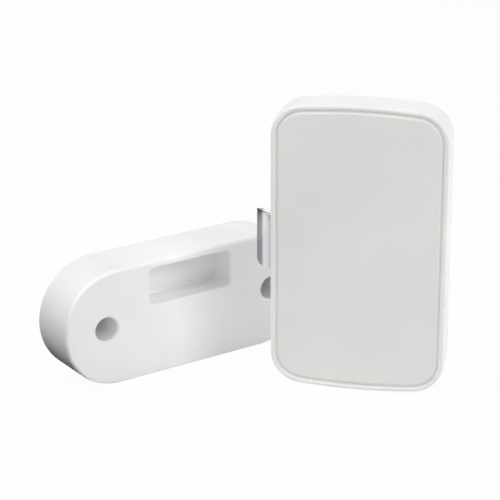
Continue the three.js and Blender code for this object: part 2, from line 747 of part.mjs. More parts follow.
// Cell on its foam pad
const padBack = floorY - touchGap;
const padFront = padBack - padThickness;
const pad = block(cellLeft + padInset, cellRight - padInset, padFront, padBack, cellLow + padInset,
  cellHigh - padInset);
place('cell_pad', pad, 0x55585c, 0.95, 0);
const cellBack = padFront - touchGap;
const cellFront = cellBack - cellThickness;
const pouch = join(
  softBlock(cellLeft, cellRight, cellFront, cellBack, cellLow, cellHigh - sealHeight, 1),
  softBlock(cellLeft + 0.5, cellRight - 0.5, cellBack - sealHeight, cellBack - runGap,
    cellHigh - 2 * sealHeight, cellHigh, 0.4),
);
place('cell_pouch', pouch, 0xaeb2b6, 0.42, 1);

// Circuit board with a tongue that carries the charging port to the bottom wall
const boardPlate = join(
  block(boardLeft, boardRight, boardFront, boardBack, boardBottom, boardTop),
  block(boardLeft, tongueRight, boardFront, boardBack, tongueBottom, boardBottom + bite),
);
const boardShank = 0.75;
const boardHoles = boardScrews.map(([x, z]) => postY(x, z, boardShank + runGap, boardFront - over,
  boardBack + over));
place('circuit_board', cut(boardPlate, ...boardHoles), 0x1f5a3c, 0.5, 0);
boardScrews.forEach(([x, z], i) => {
  const body = screw(x, z, onBoard - 0.95, onBoard, floorY - runGap, 1.7, boardShank);
  place(`board_screw_${i + 1}`, body, 0xb9bcc0, 0.32, 1);
});

// Parts on the board, each resting on its front
const [chipX, chipZ] = chipPlace;
const pins = [];
for (let i = -1.5; i <= 1.5; i++) {
  const at = i * 1.6;
  const reach = chipHalf + pinReach;
  pins.push(block(chipX - reach, chipX + reach, onBoard - pinThickness, onBoard,
    chipZ + at - pinHalf, chipZ + at + pinHalf));
  pins.push(block(chipX + at - pinHalf, chipX + at + pinHalf, onBoard - pinThickness, onBoard,
    chipZ - reach, chipZ + reach));
}
const chipBody = cut(
  block(chipX - chipHalf, chipX + chipHalf, onBoard - 1.3, onBoard - restGap, chipZ - chipHalf,
    chipZ + chipHalf),
  postY(chipX - chipHalf + 1, chipZ + chipHalf - 1, 0.4, onBoard - 2, onBoard - 1.15, 12),
);
place('controller_chip', join(chipBody, ...pins), 0x26272a, 0.5, 0);

const radioLeft = boardLeft + radioInset[0];
const radioRight = boardRight - radioInset[1];
const radioHigh = boardTop - radioFromTop;
const radioLow = radioHigh - radioLength;
const radioFront = onBoard - radioThickness;
const shieldLow = radioLow + shieldMargin;
const radio = join(
  block(radioLeft, radioRight, radioFront, onBoard, radioLow, radioHigh),
  softBlock(radioLeft + shieldMargin, radioRight - shieldMargin, onBoard - shieldHeight, radioFront + runGap,
    shieldLow, shieldLow + shieldLength, 0.3),
  ...traceDrops.map((drop) => block(radioLeft + 1, radioRight - 1, radioFront - bite, radioFront + bite,
    radioHigh - drop, radioHigh - drop + traceWidth)),
);
place('radio_module', radio, 0xb7babd, 0.36, 1);

const [buzzerX, buzzerZ] = buzzerPlace;
const buzzer = cut(
  postY(buzzerX, buzzerZ, buzzerRadius, onBoard - buzzerHeight, onBoard, 20),
  postY(buzzerX, buzzerZ, 1, onBoard - buzzerHeight - over, onBoard - buzzerHeight / 2),
);
place('buzzer', buzzer, 0x1f2022, 0.45, 0);

const capX = boardRight - canPlace[0];
const capZ = canPlace[1];
const footHalf = canRadius + 0.2;
const canister = join(
  softBlock(capX - footHalf, capX + footHalf, onBoard - 0.8, onBoard, capZ - footHalf, capZ + footHalf, 0.3),
  postY(capX, capZ, canRadius, onBoard - canHeight, onBoard - 0.5, 18),
);
place('buffer_capacitor', canister, 0xc7c9cc, 0.3, 1);

const sensorX = boardLeft + 1.5;
const legs = [[-0.6, -0.9], [-0.6, 0.9], [0.6, 0]].map(([dx, z]) => block(
  sensorX + dx - 0.6, sensorX + dx + 0.6, onBoard - pinThickness, onBoard, z - 0.2, z + 0.2,
));
const sensor = block(sensorX - 0.8, sensorX + 0.8, onBoard - 1.1, onBoard - restGap, -1.5, 1.5);
place('hall_sensor', join(sensor, ...legs), 0x2a2b2e, 0.5, 0);

// Two-way plug sockets for the cell and the motor, with their leads
const socketX = boardLeft + 0.4;
const plugX = socketX + 2;
const mouthHalf = 0.75;
function socket(z0) {
  const [width, height, length] = socketSize;
  const shell = block(socketX, socketX + width, onBoard - height, onBoard, z0, z0 + length);
  const mouths = socketWays.map((way) => block(socketX - over, socketX + 2.4, onBoard - 2.4, onBoard - 0.8,
    z0 + way - mouthHalf, z0 + way + mouthHalf));
  return cut(shell, ...mouths);
}
place('cell_socket', socket(cellSocketZ), 0xe8e2d2, 0.5, 0);
place('motor_socket', socket(motorSocketZ), 0xe8e2d2, 0.5, 0);
const leadY = onBoard - 1.6;
const nearX = boardLeft - 0.1;
const laneX = boardLeft - 0.65;
['red', 'black'].forEach((shade, i) => {
  const tint = i ? 0x232427 : 0xb3202a;
  const cellPlug = cellSocketZ + socketWays[i];
  const midY = (cellFront + cellBack) / 2;
  const cellLead = wire([
    [cellRight + restGap, midY, cellPlug - 1],
    [cellRight + 2.2, midY - restGap, cellPlug - 0.8],
    [boardLeft - 2, leadY - 0.5, cellPlug - restGap],
    [boardLeft, leadY, cellPlug],
    [plugX, leadY, cellPlug],
  ], leadRadius);
  place(`cell_lead_${shade}`, cellLead, tint, 0.5, 0);
  const motorPlug = motorSocketZ + socketWays[i];
  const laneY = i ? motorY + restGap : motorY - 1.2;
  const start = i ? [
    [wormX + 1.2, motorY + 0.8, tagHigh - restGap],
    [laneX - 1.15, laneY + runGap, tagHigh - bite],
    [laneX, laneY, tagHigh - laneDrop[i]],
    [laneX, laneY, motorPlug + laneRise[i]],
  ] : [
    [wormX - 1.2, motorY - 0.8, tagHigh - restGap],
    [wormX + 1.6, laneY - bite, tagHigh + bite],
    [laneX, laneY - 0.4, tagHigh - laneDrop[i]],
    [laneX, laneY - 0.6, motorPlug + laneRise[i]],
  ];
  const end = [[nearX, leadY, motorPlug + 0.5], [plugX, leadY, motorPlug]];
  place(`motor_lead_${shade}`, wire([...start, ...end], leadRadius, 6, 22), tint, 0.5, 0);
});

// Charging port, mouth in the bottom wall
const portLow = floorZ + portSetback;
const portHigh = portLow + portSize[2];
function portRing(margin, z0, z1) {
  const [width, depth] = portSize;
  const outline = softRectangle(width - 2 * margin, depth - 2 * margin, depth / 2 - restGap - margin);
  return uprightPrism(outline, portX, portY, z0, z1);
}
const tongueHalf = portSize[0] / 2 - 1.2;
const port = join(
  cut(portRing(0, portLow, portHigh), portRing(portWall, portLow - over, portHigh - 1)),
  block(portX - tongueHalf, portX + tongueHalf, portY - portWall, portY + portWall, portLow + 0.6,
    portHigh - 0.5),
);
place('charging_port', port, 0xb9bcc0, 0.3, 1);

// Pairing switch behind a hole in the inner plate
const keyFront = onBoard - 1.9;
const keyBase = cut(
  softBlock(keyX - keyHalf, keyX + keyHalf, keyFront, onBoard, keyZ - keyHalf, keyZ + keyHalf, 0.25),
  postY(keyX, keyZ, keyRadius + 0.25, keyFront - over, onBoard - 0.7, 18),
);
place('switch_base', keyBase, 0x303236, 0.5, 0);
const button = postY(keyX, keyZ, keyRadius, plateBack + 0.5, onBoard - 1.15, 18);
place('switch_button', button, 0xd9d6cc, 0.5, 0);

// Keeper: stadium block with a bolt pocket, two screw recesses and a ribbed hollow back
const keeperOutline = (inset) => stadiumOutline(keeperLength, keeperHeight, inset);
const keeperShell = slab(keeperOutline, 0, keeperThickness, keeperEdge, 0.5);
const pocketZ = keeperHeight / 2 - pocketTopWall - pocketSize[2] / 2;
const pocketShape = (grow) => softRectangle(
  pocketSize[0] + 2 * grow, pocketSize[2] + 2 * grow, pocketCorner + grow,
).map(([x, z]) => [x, z + pocketZ]);
const recessX = recessSpacing / 2;
const coreFront = keeperWall + 0.4;
const past = keeperThickness + over;
const halfLength = keeperLength / 2;
const halfHeight = keeperHeight / 2;
const core = slab((inset) => keeperOutline(keeperWall + inset), coreFront, past);
const web = (x, half) => block(x - half, x + half, 0, past + over, -halfHeight, halfHeight);
const webPlaces = [...pocketWebs, ...collarWebs.map((x) => recessX + x)];
const uprights = webPlaces.flatMap((x) => [web(-x, webHalf), web(x, webHalf)]);
const levels = levelWebs.map((z) => block(-halfLength, halfLength, 0, past + over, z - webHalf, z + webHalf));
const sides = [-recessX, recessX];
const collars = sides.map((x) => postY(x, 0, recessRadius + keeperWall, 0, past + over, 20));
const pocketBox = prism(pocketShape(keeperWall), 0, pocketSize[1] + keeperWall);
const hollow = cut(core, ...uprights, web(0, middleWebHalf), ...levels, ...collars, pocketBox);
const recesses = sides.map((x) => postY(x, 0, recessRadius, -over, recessDepth, 24));
const screwHoles = sides.map((x) => postY(x, 0, screwHole, 0, past, 18));
const pocket = prism(pocketShape(0), -over, pocketSize[1]);
const keeperBody = cut(keeperShell, hollow, pocket, ...recesses, ...screwHoles);
const keeperPlaced = geometryOf(keeperBody).rotateZ(keeperYaw)
  .translate(keeperX, keeperY, floorZ + keeperHeight / 2);
place('keeper_block', solid(keeperPlaced), 0xf1f1f2, 0.42, 0);

export default root;
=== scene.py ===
import math
import bmesh
import bpy
import numpy as np
from mathutils import Matrix
from mathutils.geometry import tessellate_polygon


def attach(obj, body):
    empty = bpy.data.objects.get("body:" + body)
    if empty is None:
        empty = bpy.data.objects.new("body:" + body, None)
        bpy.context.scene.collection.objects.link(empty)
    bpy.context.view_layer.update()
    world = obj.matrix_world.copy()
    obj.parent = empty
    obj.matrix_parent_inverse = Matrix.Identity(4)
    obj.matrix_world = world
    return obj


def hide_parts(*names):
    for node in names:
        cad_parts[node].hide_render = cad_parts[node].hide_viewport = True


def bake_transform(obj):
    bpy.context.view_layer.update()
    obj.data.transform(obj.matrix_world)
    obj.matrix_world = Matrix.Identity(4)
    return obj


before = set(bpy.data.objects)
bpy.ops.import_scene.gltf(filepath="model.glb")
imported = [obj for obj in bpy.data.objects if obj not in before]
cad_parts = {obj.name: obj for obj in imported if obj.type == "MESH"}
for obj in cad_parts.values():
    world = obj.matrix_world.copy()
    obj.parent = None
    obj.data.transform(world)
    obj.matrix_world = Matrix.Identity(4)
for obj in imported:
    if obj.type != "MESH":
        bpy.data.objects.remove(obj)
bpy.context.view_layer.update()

# drawer lock with its loose keeper: all sizes below are millimetres, meshes are written in metres
mm = 0.001
scene = bpy.context.scene


def toLinear(hexText):
    # sRGB hex to linear light, with the standard two-part curve
    parts = [int(hexText[i:i + 2], 16) / 255 for i in (1, 3, 5)]
    return tuple(c / 12.92 if c <= 0.04045 else ((c + 0.055) / 1.055) ** 2.4 for c in parts) + (1.0,)


def feed(tree, node, sources):
    # inputs of a node, by name or number, from the sockets of others
    for key, source in sources.items():
        tree.links.new(source, node.inputs[key])


def addNode(tree, kind, settings=None, links=None):
    # one node, its values by socket or property name, its inputs from other sockets
    node = tree.nodes.new(kind)
    for key, value in (settings or {}).items():
        if key in node.inputs:
            node.inputs[key].default_value = value
        else:
            setattr(node, key, value)
    feed(tree, node, links or {})
    return node


def standAt(thing, right, up, back, place):
    # camera or lamp set in the scene by its own axes; it looks away from its back
    pose = np.eye(4)
    pose[:3, :3] = np.array([right, up, back]).T
    pose[:3, 3] = np.array(place) * mm
    thing.matrix_world = Matrix(pose.tolist())
    scene.collection.objects.link(thing)


# camera: place, axes and lens solved from the edges in the photograph

cameraView = {
    "place": (93.16, -594.35, 220.41),
    "right": (0.977184, 0.212349, -0.004460),
    "up": (-0.070082, 0.342178, 0.937018),
    "forward": (-0.200501, 0.915326, -0.349252),
    "lens": 144.37, "sensor": 36, "nearest": 10,
}


def setCamera(view):
    # the lens over the sensor's width gives the angle of view, the three axes give the turn
    data = bpy.data.cameras.new("photoCamera")
    data.lens = view["lens"]
    data.sensor_width = view["sensor"]
    data.clip_start = view["nearest"] * mm
    camera = bpy.data.objects.new("photoCamera", data)
    standAt(camera, view["right"], view["up"], -np.array(view["forward"]), view["place"])
    scene.camera = camera


setCamera(cameraView)
print("camera set")


# mesh tools

meshing = {"seam": 0.0002, "sharpAngle": 28, "flatWeight": 80}


def gridQuads(rows, cols):
    # corner numbers of every cell of a rows x cols grid, the last column joined to the first
    r = np.arange(rows - 1)[:, None]
    c = np.arange(cols)[None, :]
    n = (c + 1) % cols
    return np.stack([r * cols + c, r * cols + n, (r + 1) * cols + n, (r + 1) * cols + c], -1).reshape(-1, 4)


def sweep(rings, keep=None):
    # skin over closed rings of equal counts; keep is a mask of the cells that stay
    quads = gridQuads(*rings.shape[:2])
    return rings.reshape(-1, 3), quads if keep is None else quads[keep.reshape(-1)]


def capFace(loops):
    # flat face inside the first loop and outside the others, all on one y
    flat = [loop[:, [0, 2]].tolist() for loop in loops]
    return np.concatenate(loops), np.array(tessellate_polygon(flat))


def cappedSweep(rings):
    # skin over rings that begin and end on one y each, closed there by flat faces
    return [sweep(rings), capFace([rings[0]]), capFace([rings[-1]])]


def stoppedSweep(rings):
    # skin over rings, closed at both ends by one many-sided face
    order = np.arange(rings.shape[1])[None, :]
    return [sweep(rings), (rings[0], order[:, ::-1]), (rings[-1], order)]


def atDepth(flat, y):
    # outline of x and z stood at one y
    return np.stack([flat[:, 0], np.full(len(flat), y), flat[:, 1]], -1)


def circleLoop(x, z, radius, y, count=48):
    # circle round an axis along y
    q = 2 * np.pi * np.arange(count) / count
    return atDepth(np.stack([x + radius * np.sin(q), z + radius * np.cos(q)], -1), y)


def roundedRect(middle, half, corner, y, steps):
    # rectangle with a quarter circle at each corner, clockwise from the right of its top edge
    q = np.linspace(0, np.pi / 2, steps)
    arc = corner * np.stack([np.sin(q), np.cos(q)], -1)
    turns = (((1, 1), arc), ((1, -1), arc[::-1]), ((-1, -1), arc), ((-1, 1), arc[::-1]))
    flat = np.concatenate([np.array(sign) * (half - corner + bend) for sign, bend in turns])
    return atDepth(middle + flat, y)


def turnedPost(x, z, profile, count=40):
    # profile of radius and y turned round an axis along y, closed at both ends
    return cappedSweep(np.stack([circleLoop(x, z, r, y, count) for r, y in profile]))


def tube(x, z, outer, inner, y0, y1, count=40):
    # ring wall between two radii, from y0 to y1, closed all round
    profile = [(outer, y1), (outer, y0), (inner, y0), (inner, y1), (outer, y1)]
    return [sweep(np.stack([circleLoop(x, z, r, y, count) for r, y in profile]))]


def softBox(x0, x1, y0, y1, z0, z1, soft=0.15):
    # box with softened edges: a rounded rectangle carried along y and drawn in near both ends
    middle = np.array([x0 + x1, z0 + z1]) / 2
    half = np.array([x1 - x0, z1 - z0]) / 2
    ease = ((0.7, 0), (0.2, 0.4), (0, 1))  # drawn in by, and distance from the end, in shares of the softness
    ends = [(soft * inset, y0 + soft * depth) for inset, depth in ease]
    ends += [(soft * inset, y1 - soft * depth) for inset, depth in ease[::-1]]
    return cappedSweep(np.stack([roundedRect(middle, half - inset, soft - inset, y, 4) for inset, y in ends]))


def makePiece(name, shells, body, nodes, material, turn=None):
    # joins the shells, closes their seams, points the faces outwards and hands the piece to its body
    points = np.concatenate([own for own, cells in shells])
    if turn is not None:
        points = turn(points)
    starts = np.cumsum([0] + [len(own) for own, cells in shells])
    faces = [face for start, (own, cells) in zip(starts, shells) for face in (cells + start).tolist()]
    mesh = bpy.data.meshes.new(name)
    mesh.from_pydata((points * mm).tolist(), [], faces)
    form = bmesh.new()
    form.from_mesh(mesh)
    bmesh.ops.remove_doubles(form, verts=form.verts, dist=meshing["seam"] * mm)
    bmesh.ops.recalc_face_normals(form, faces=form.faces)
    form.to_mesh(mesh)
    form.free()
    mesh.shade_smooth()
    mesh.set_sharp_from_angle(angle=math.radians(meshing["sharpAngle"]))
    mesh.materials.append(material)
    piece = bpy.data.objects.new(name, mesh)
    scene.collection.objects.link(piece)
    if body:
        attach(piece, body)
    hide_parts(*nodes)
    return piece


def steadyNormals(piece):
    # large flat faces keep their own normal, so narrow rounded edges carry all the turn
    steady = piece.modifiers.new("steadyNormals", "WEIGHTED_NORMAL")
    steady.keep_sharp = True
    steady.weight = meshing["flatWeight"]


# materials

plasticIor = 1.54
grainDepth = 0.03
streakDepth = 0.02
streakGloss = (-0.05, 0.06)
mixSockets = {"first": 6, "second": 7, "result": 2}  # colour sockets, by number because their names repeat


def emptyTree(owner):
    # node tree of a material or a world, with nothing in it yet
    owner.use_nodes = True
    owner.node_tree.nodes.clear()
    return owner.node_tree


def startMaterial(name):
    # principled shader, and the piece's own coordinates in millimetres
    material = bpy.data.materials.new(name)
    tree = emptyTree(material)
    coords = addNode(tree, "ShaderNodeTexCoord")
    inMm = addNode(tree, "ShaderNodeMapping", {"Scale": (1 / mm,) * 3}, {"Vector": coords.outputs["Object"]})
    shader = addNode(tree, "ShaderNodeBsdfPrincipled")
    addNode(tree, "ShaderNodeOutputMaterial", None, {"Surface": shader.outputs["BSDF"]})
    return material, tree, inMm.outputs["Vector"], shader


def tintRamp(tree, source, low, high, start=0.35, end=0.65):
    # two tones of one colour spread over a pattern
    ramp = addNode(tree, "ShaderNodeValToRGB", None, {"Fac": source})
    for stop, place, tone in zip(ramp.color_ramp.elements, (start, end), (low, high)):
        stop.position = place
        stop.color = toLinear(tone)
    return ramp.outputs["Color"]


def bumped(tree, source, strength, depth):
    # shading relief from a pattern, depth in millimetres
    settings = {"Strength": strength, "Distance": depth * mm}
    return addNode(tree, "ShaderNodeBump", settings, {"Height": source}).outputs["Normal"]


def spreadOver(tree, source, low, high):
    # pattern from 0 to 1 spread between two values
    spread = addNode(tree, "ShaderNodeMapRange", {"To Min": low, "To Max": high}, {"Value": source})
    return spread.outputs["Result"]


def mouldedPlastic(name, look):
    # injection-moulded plastic: a fine spark-eroded grain breaks the gloss, slow flow marks shift the tone
    material, tree, inMm, shader = startMaterial(name)
    grain = addNode(tree, "ShaderNodeTexNoise", {
        "Scale": 1 / look["grainMm"], "Detail": 4, "Roughness": 0.6}, {"Vector": inMm}).outputs["Fac"]
    flow = addNode(tree, "ShaderNodeTexNoise", {"Scale": 1 / look["flowMm"], "Detail": 2}, {"Vector": inMm})
    feed(tree, shader, {
        "Base Color": tintRamp(tree, flow.outputs["Fac"], look["low"], look["high"]),
        "Roughness": spreadOver(tree, grain, look["rough"] - look["spread"], look["rough"] + look["spread"]),
        "Normal": bumped(tree, grain, look["relief"], grainDepth),
    })
    shader.inputs["IOR"].default_value = plasticIor
    return material


def bevelReflectionTint(tree, inMm, tint, stops):
    # tint darkened along x by a painted reflection on the bolt's bevel: darkest at the tip, a grey band over
    # the bevel, the plating's own colour past it
    first, last = stops[0][0], stops[-1][0]
    along = addNode(tree, "ShaderNodeSeparateXYZ", None, {"Vector": inMm})
    share = addNode(tree, "ShaderNodeMapRange", {"From Min": first, "From Max": last},
                    {"Value": along.outputs["X"]})
    shade = addNode(tree, "ShaderNodeValToRGB", None, {"Fac": share.outputs["Result"]})
    ramp = shade.color_ramp.elements
    ramp[0].color = toLinear(stops[0][1])
    ramp[-1].color = toLinear(stops[-1][1])
    for x, tone in stops[1:-1]:
        ramp.new((x - first) / (last - first)).color = toLinear(tone)
    # painted reflection: the plating's tint multiplied by the dark-to-white ramp along x
    paintedShade = addNode(tree, "ShaderNodeMix", {"data_type": "RGBA", "blend_type": "MULTIPLY", "Factor": 1.0})
    feed(tree, paintedShade, {mixSockets["first"]: tint, mixSockets["second"]: shade.outputs["Color"]})
    return paintedShade.outputs[mixSockets["result"]]


def workedMetal(name, look):
    # worked metal: streaks along one way from drawing or polishing, with a little uneven gloss
    material, tree, inMm, shader = startMaterial(name)
    stretched = addNode(tree, "ShaderNodeMapping", {"Scale": look["stretch"]}, {"Vector": inMm})
    streak = addNode(tree, "ShaderNodeTexNoise", {
        "Scale": 1 / look["grainMm"], "Detail": 5, "Roughness": 0.55,
    }, {"Vector": stretched.outputs["Vector"]}).outputs["Fac"]
    tint = tintRamp(tree, streak, look["low"], look["high"])
    # a painted reflection, a dark tip and a grey band on the bevel, is multiplied into the tint where one is
    # listed
    if "paintedReflection" in look:
        tint = bevelReflectionTint(tree, inMm, tint, look["paintedReflection"])
    feed(tree, shader, {
        "Base Color": tint,
        "Roughness": spreadOver(tree, streak, *(look["rough"] + change for change in streakGloss)),
        "Normal": bumped(tree, streak, look["relief"], streakDepth),
    })
    shader.inputs["Metallic"].default_value = 1.0
    return material


def solderMask(name, look):
    # glass-fibre board under green lacquer: raised copper tracks show as paler lines with a soft edge
    material, tree, inMm, shader = startMaterial(name)
    upright = addNode(tree, "ShaderNodeMapping", {"Rotation": (math.pi / 2, 0, 0)}, {"Vector": inMm})
    track = look["trackMm"]
    tracks = addNode(tree, "ShaderNodeTexBrick", {
        "Scale": 1.0, "Brick Width": track * look["run"], "Row Height": track * look["pitch"],
        "Mortar Size": track * look["line"], "Mortar Smooth": look["soft"], "Color1": toLinear(look["low"]),
        "Color2": toLinear(look["mid"]), "Mortar": toLinear(look["high"]),
    }, {"Vector": upright.outputs["Vector"]})
    feed(tree, shader, {
        "Base Color": tracks.outputs["Color"],
        "Normal": bumped(tree, tracks.outputs["Fac"], look["relief"], look["depthMm"]),
    })
    shader.inputs["Roughness"].default_value = look["rough"]
    return material


def cellPattern(name, look, feature, metallic):
    # rounded cells: the distance from each cell's middle gives relief and tone
    material, tree, inMm, shader = startMaterial(name)
    distance = addNode(tree, "ShaderNodeTexVoronoi", {"feature": feature, "Scale": 1 / look["cellMm"]},
                       {"Vector": inMm}).outputs["Distance"]
    feed(tree, shader, {
        "Base Color": tintRamp(tree, distance, look["low"], look["high"], *look["toneRange"]),
        "Normal": bumped(tree, distance, look["relief"], look["depthMm"]),
    })
    shader.inputs["Metallic"].default_value = metallic
    shader.inputs["Roughness"].default_value = look["rough"]
    return material


def pouchFoil(name, look):
    # aluminium laminate pouch: broad soft crinkles from vacuum sealing, satin gloss
    return cellPattern(name, look, "SMOOTH_F1", 1.0)


def poredFoam(name, look):
    # closed-cell foam: small dark pores over a dull grey
    return cellPattern(name, look, "F1", 0.0)


plasticLooks = {
    "caseAbs": {"low": "#E9E8E6", "high": "#EDECEA", "rough": 0.24, "spread": 0.015,
                "grainMm": 0.35, "flowMm": 22, "relief": 0.02},
    "panelAbs": {"low": "#E3E2E0", "high": "#E7E6E4", "rough": 0.46, "spread": 0.06,
                 "grainMm": 0.35, "flowMm": 26, "relief": 0.14},
    "keeperAbs": {"low": "#F2F2F3", "high": "#F6F6F7", "rough": 0.27, "spread": 0.015,
                  "grainMm": 0.35, "flowMm": 24, "relief": 0.02},
    "gearAcetal": {"low": "#E6E1D3", "high": "#EDE9DE", "rough": 0.42, "spread": 0.06,
                   "grainMm": 0.3, "flowMm": 4, "relief": 0.08},
    "darkNylon": {"low": "#303236", "high": "#3B3D41", "rough": 0.55, "spread": 0.06,
                  "grainMm": 0.3, "flowMm": 9, "relief": 0.25},
    "redSleeve": {"low": "#A81C26", "high": "#B9242E", "rough": 0.42, "spread": 0.06,
                  "grainMm": 0.3, "flowMm": 3, "relief": 0.08},
    "blackSleeve": {"low": "#1C1D20", "high": "#26272B", "rough": 0.42, "spread": 0.06,
                    "grainMm": 0.3, "flowMm": 3, "relief": 0.08},
}
metalLooks = {
    "nickelPlatedZinc": {"low": "#F1F1F2", "high": "#F7F7F8", "rough": 0.20, "grainMm": 0.30, "relief": 0.05,
                         "stretch": (1, 1, 0.04),
                         # painted reflection on the bolt's bevel, x in mm and tone: dark tip, grey band, then
                         # the plating's own white
                         "paintedReflection": ((-33.9, "#5C5C61"), (-33.6, "#68686D"), (-33.35, "#ACACB2"),
                                    (-32.1, "#A6A6AC"), (-31.3, "#FFFFFF"))},
    "steelBright": {"low": "#B4B7BB", "high": "#C3C6CA", "rough": 0.30, "grainMm": 0.25, "relief": 0.08,
                    "stretch": (0.15, 1, 1)},
    "brassTurned": {"low": "#B08D4C", "high": "#C2A05E", "rough": 0.30, "grainMm": 0.25, "relief": 0.08,
                    "stretch": (1, 1, 0.2)},
}
boardLook = {"low": "#1B5236", "mid": "#1F5C3D", "high": "#2F7A52", "rough": 0.32, "trackMm": 0.6,
             "run": 6, "pitch": 2.4, "line": 0.3, "soft": 0.3, "relief": 0.3, "depthMm": 0.04}
pouchLook = {"low": "#9FA3A7", "high": "#B9BDC1", "rough": 0.38, "cellMm": 5, "toneRange": (0.1, 0.9),
             "relief": 0.35, "depthMm": 0.2}
foamLook = {"low": "#33353A", "high": "#5A5D62", "rough": 0.95, "cellMm": 0.6, "toneRange": (0.1, 0.5),
            "relief": 0.8, "depthMm": 0.1}
finishes = {name: mouldedPlastic(name, look) for name, look in plasticLooks.items()}
finishes.update({name: workedMetal(name, look) for name, look in metalLooks.items()})
finishes["boardLacquer"] = solderMask("boardLacquer", boardLook)
finishes["cellLaminate"] = pouchFoil("cellLaminate", pouchLook)
finishes["padFoam"] = poredFoam("padFoam", foamLook)
print("materials made:", len(finishes))


# case: one profile carried round the bowed outline, with the bolt slot and the charging mouth let in

case = {
    "width": 56, "height": 95, "depth": 11.5, "endRadius": 200, "corner": 10.4,
    "frontEdge": 0.9, "backEdge": 0.6, "wall": 3, "floor": -1.5, "ledge": -8.6,
    "rimInner": 1.8, "rimRound": 0.5, "rimTilt": 0.588, "rimFoot": -11,
    "slotHalf": 9.7, "slotFront": -8.5, "slotBack": -2.9,
    "portX": 8.8, "portY": -5.35, "portSize": (9.6, 3.8), "portReach": 6.6,
    "wells": ((-18, 36.5), (18, -36.5)), "wellOuter": 4.8, "wellInner": 3.9, "hole": 2.2,
    "topSteps": 24, "turnSteps": 19, "footSteps": (14, 13, 6), "sideSteps": (12, 9, 12), "wallSteps": 8,
    "backEdgeSteps": 7, "frontEdgeSteps": 10, "crownSteps": 8, "wellSteps": 56,
}


def linkedRuns(marks, counts):
    # even steps from mark to mark, each mark once
    runs = [np.linspace(a, b, count) for a, b, count in zip(marks, marks[1:], counts)]
    return np.concatenate(runs[:1] + [run[1:] for run in runs[1:]])


def caseOutline(form):
    # base points with inward normals, clockwise from the left of the top: bowed ends, round corners and
    # straight sides, with points at the limits of the bolt slot and the charging mouth
    half, bow, corner = form["width"] / 2, form["endRadius"], form["corner"]
    arcZ = form["height"] / 2 - bow
    cornerX = half - corner
    cornerZ = arcZ + math.sqrt((bow - corner) ** 2 - cornerX ** 2)
    swing = math.atan2(cornerX, cornerZ - arcZ)
    topQ = np.linspace(-swing, swing, form["topSteps"])
    turnQ = np.linspace(swing, np.pi / 2, form["turnSteps"])[1:-1]
    portQ = np.arcsin((form["portX"] + form["portReach"] * np.array([-1, 1])) / bow)
    footQ = linkedRuns([-swing, *portQ, swing], form["footSteps"])
    slot = form["slotHalf"]
    sideZ = linkedRuns([cornerZ, slot, -slot, -cornerZ], form["sideSteps"])

    def bowed(q):
        # points of the wide arc of an end, at angles from its middle
        way = np.stack([np.sin(q), np.cos(q)], -1)
        return np.array([0, arcZ]) + bow * way, -way

    def rounded(q, sx, sz):
        # points of a corner's arc, mirrored into its quarter by two signs
        way = np.stack([sx * np.sin(q), sz * np.cos(q)], -1)
        return np.array([sx * cornerX, sz * cornerZ]) + corner * way, -way

    flip = np.array([1, -1])
    foot, footIn = bowed(footQ[::-1])
    side = np.stack([np.full(len(sideZ), half), sideZ], -1)
    sideIn = np.tile([-1.0, 0.0], (len(sideZ), 1))
    runs = [
        bowed(topQ), rounded(turnQ, 1, 1), (side, sideIn), rounded(turnQ[::-1], 1, -1),
        (foot * flip, footIn * flip), rounded(turnQ, -1, -1), (-side, -sideIn), rounded(turnQ[::-1], -1, 1),
    ]
    return np.concatenate([base for base, way in runs]), np.concatenate([way for base, way in runs])


outlineBase, outlineIn = caseOutline(case)


def caseRing(offset, y):
    # outline moved in by an offset, at one depth
    return atDepth(outlineBase + offset * outlineIn, y)


def roundTurn(centre, radius, start, steps, span=np.pi / 2):
    # points of an arc in offset and y, a quarter circle where no span is given
    q = start + np.linspace(0, span, steps)
    return [(centre[0] + radius * math.cos(a), centre[1] + radius * math.sin(a)) for a in q]


def patchEdge(grid, rows, cols):
    # border of a block of grid points, once round
    block = grid[rows[0]:rows[1] + 1, cols[0]:cols[1] + 1]
    return np.concatenate([block[0, :-1], block[:-1, -1], block[-1, :0:-1], block[:0:-1, 0]])


def stadiumAt(angle, size):
    # where a ray at each angle leaves a stadium of that length and height
    r = size[1] / 2
    a = size[0] / 2 - r
    c, s = np.cos(angle), np.sin(angle)
    flatT = r / np.maximum(np.abs(s), 1e-9)
    roundT = a * np.abs(c) + np.sqrt(np.maximum(r * r - (a * s) ** 2, 0))
    t = np.where(flatT * np.abs(c) <= a, flatT, roundT)
    return t * c, t * s


def caseProfile(form):
    # offset and y from the back edge over the rim and down to the floor, and where both walls start in it
    front, edge, back, lip = -form["depth"], form["frontEdge"], form["backEdge"], form["rimRound"]
    inner, wall, ledge = form["rimInner"], form["wall"], form["ledge"]
    wallY = np.linspace(form["slotBack"], form["slotFront"], form["wallSteps"])
    profile = roundTurn((back, -back), back, np.pi / 2, form["backEdgeSteps"])
    outerStart = len(profile)
    profile += [(0, y) for y in wallY]
    profile += roundTurn((edge, front + edge), edge, np.pi, form["frontEdgeSteps"])
    profile += roundTurn((edge, front + lip), lip, -np.pi / 2, form["crownSteps"], form["rimTilt"])[1:]
    profile += [(inner, form["rimFoot"]), (inner, ledge), (wall, ledge)]
    innerStart = len(profile)
    profile += [(wall, y) for y in wallY[::-1]]
    profile += [(wall, form["floor"])]
    return profile, outerStart, innerStart


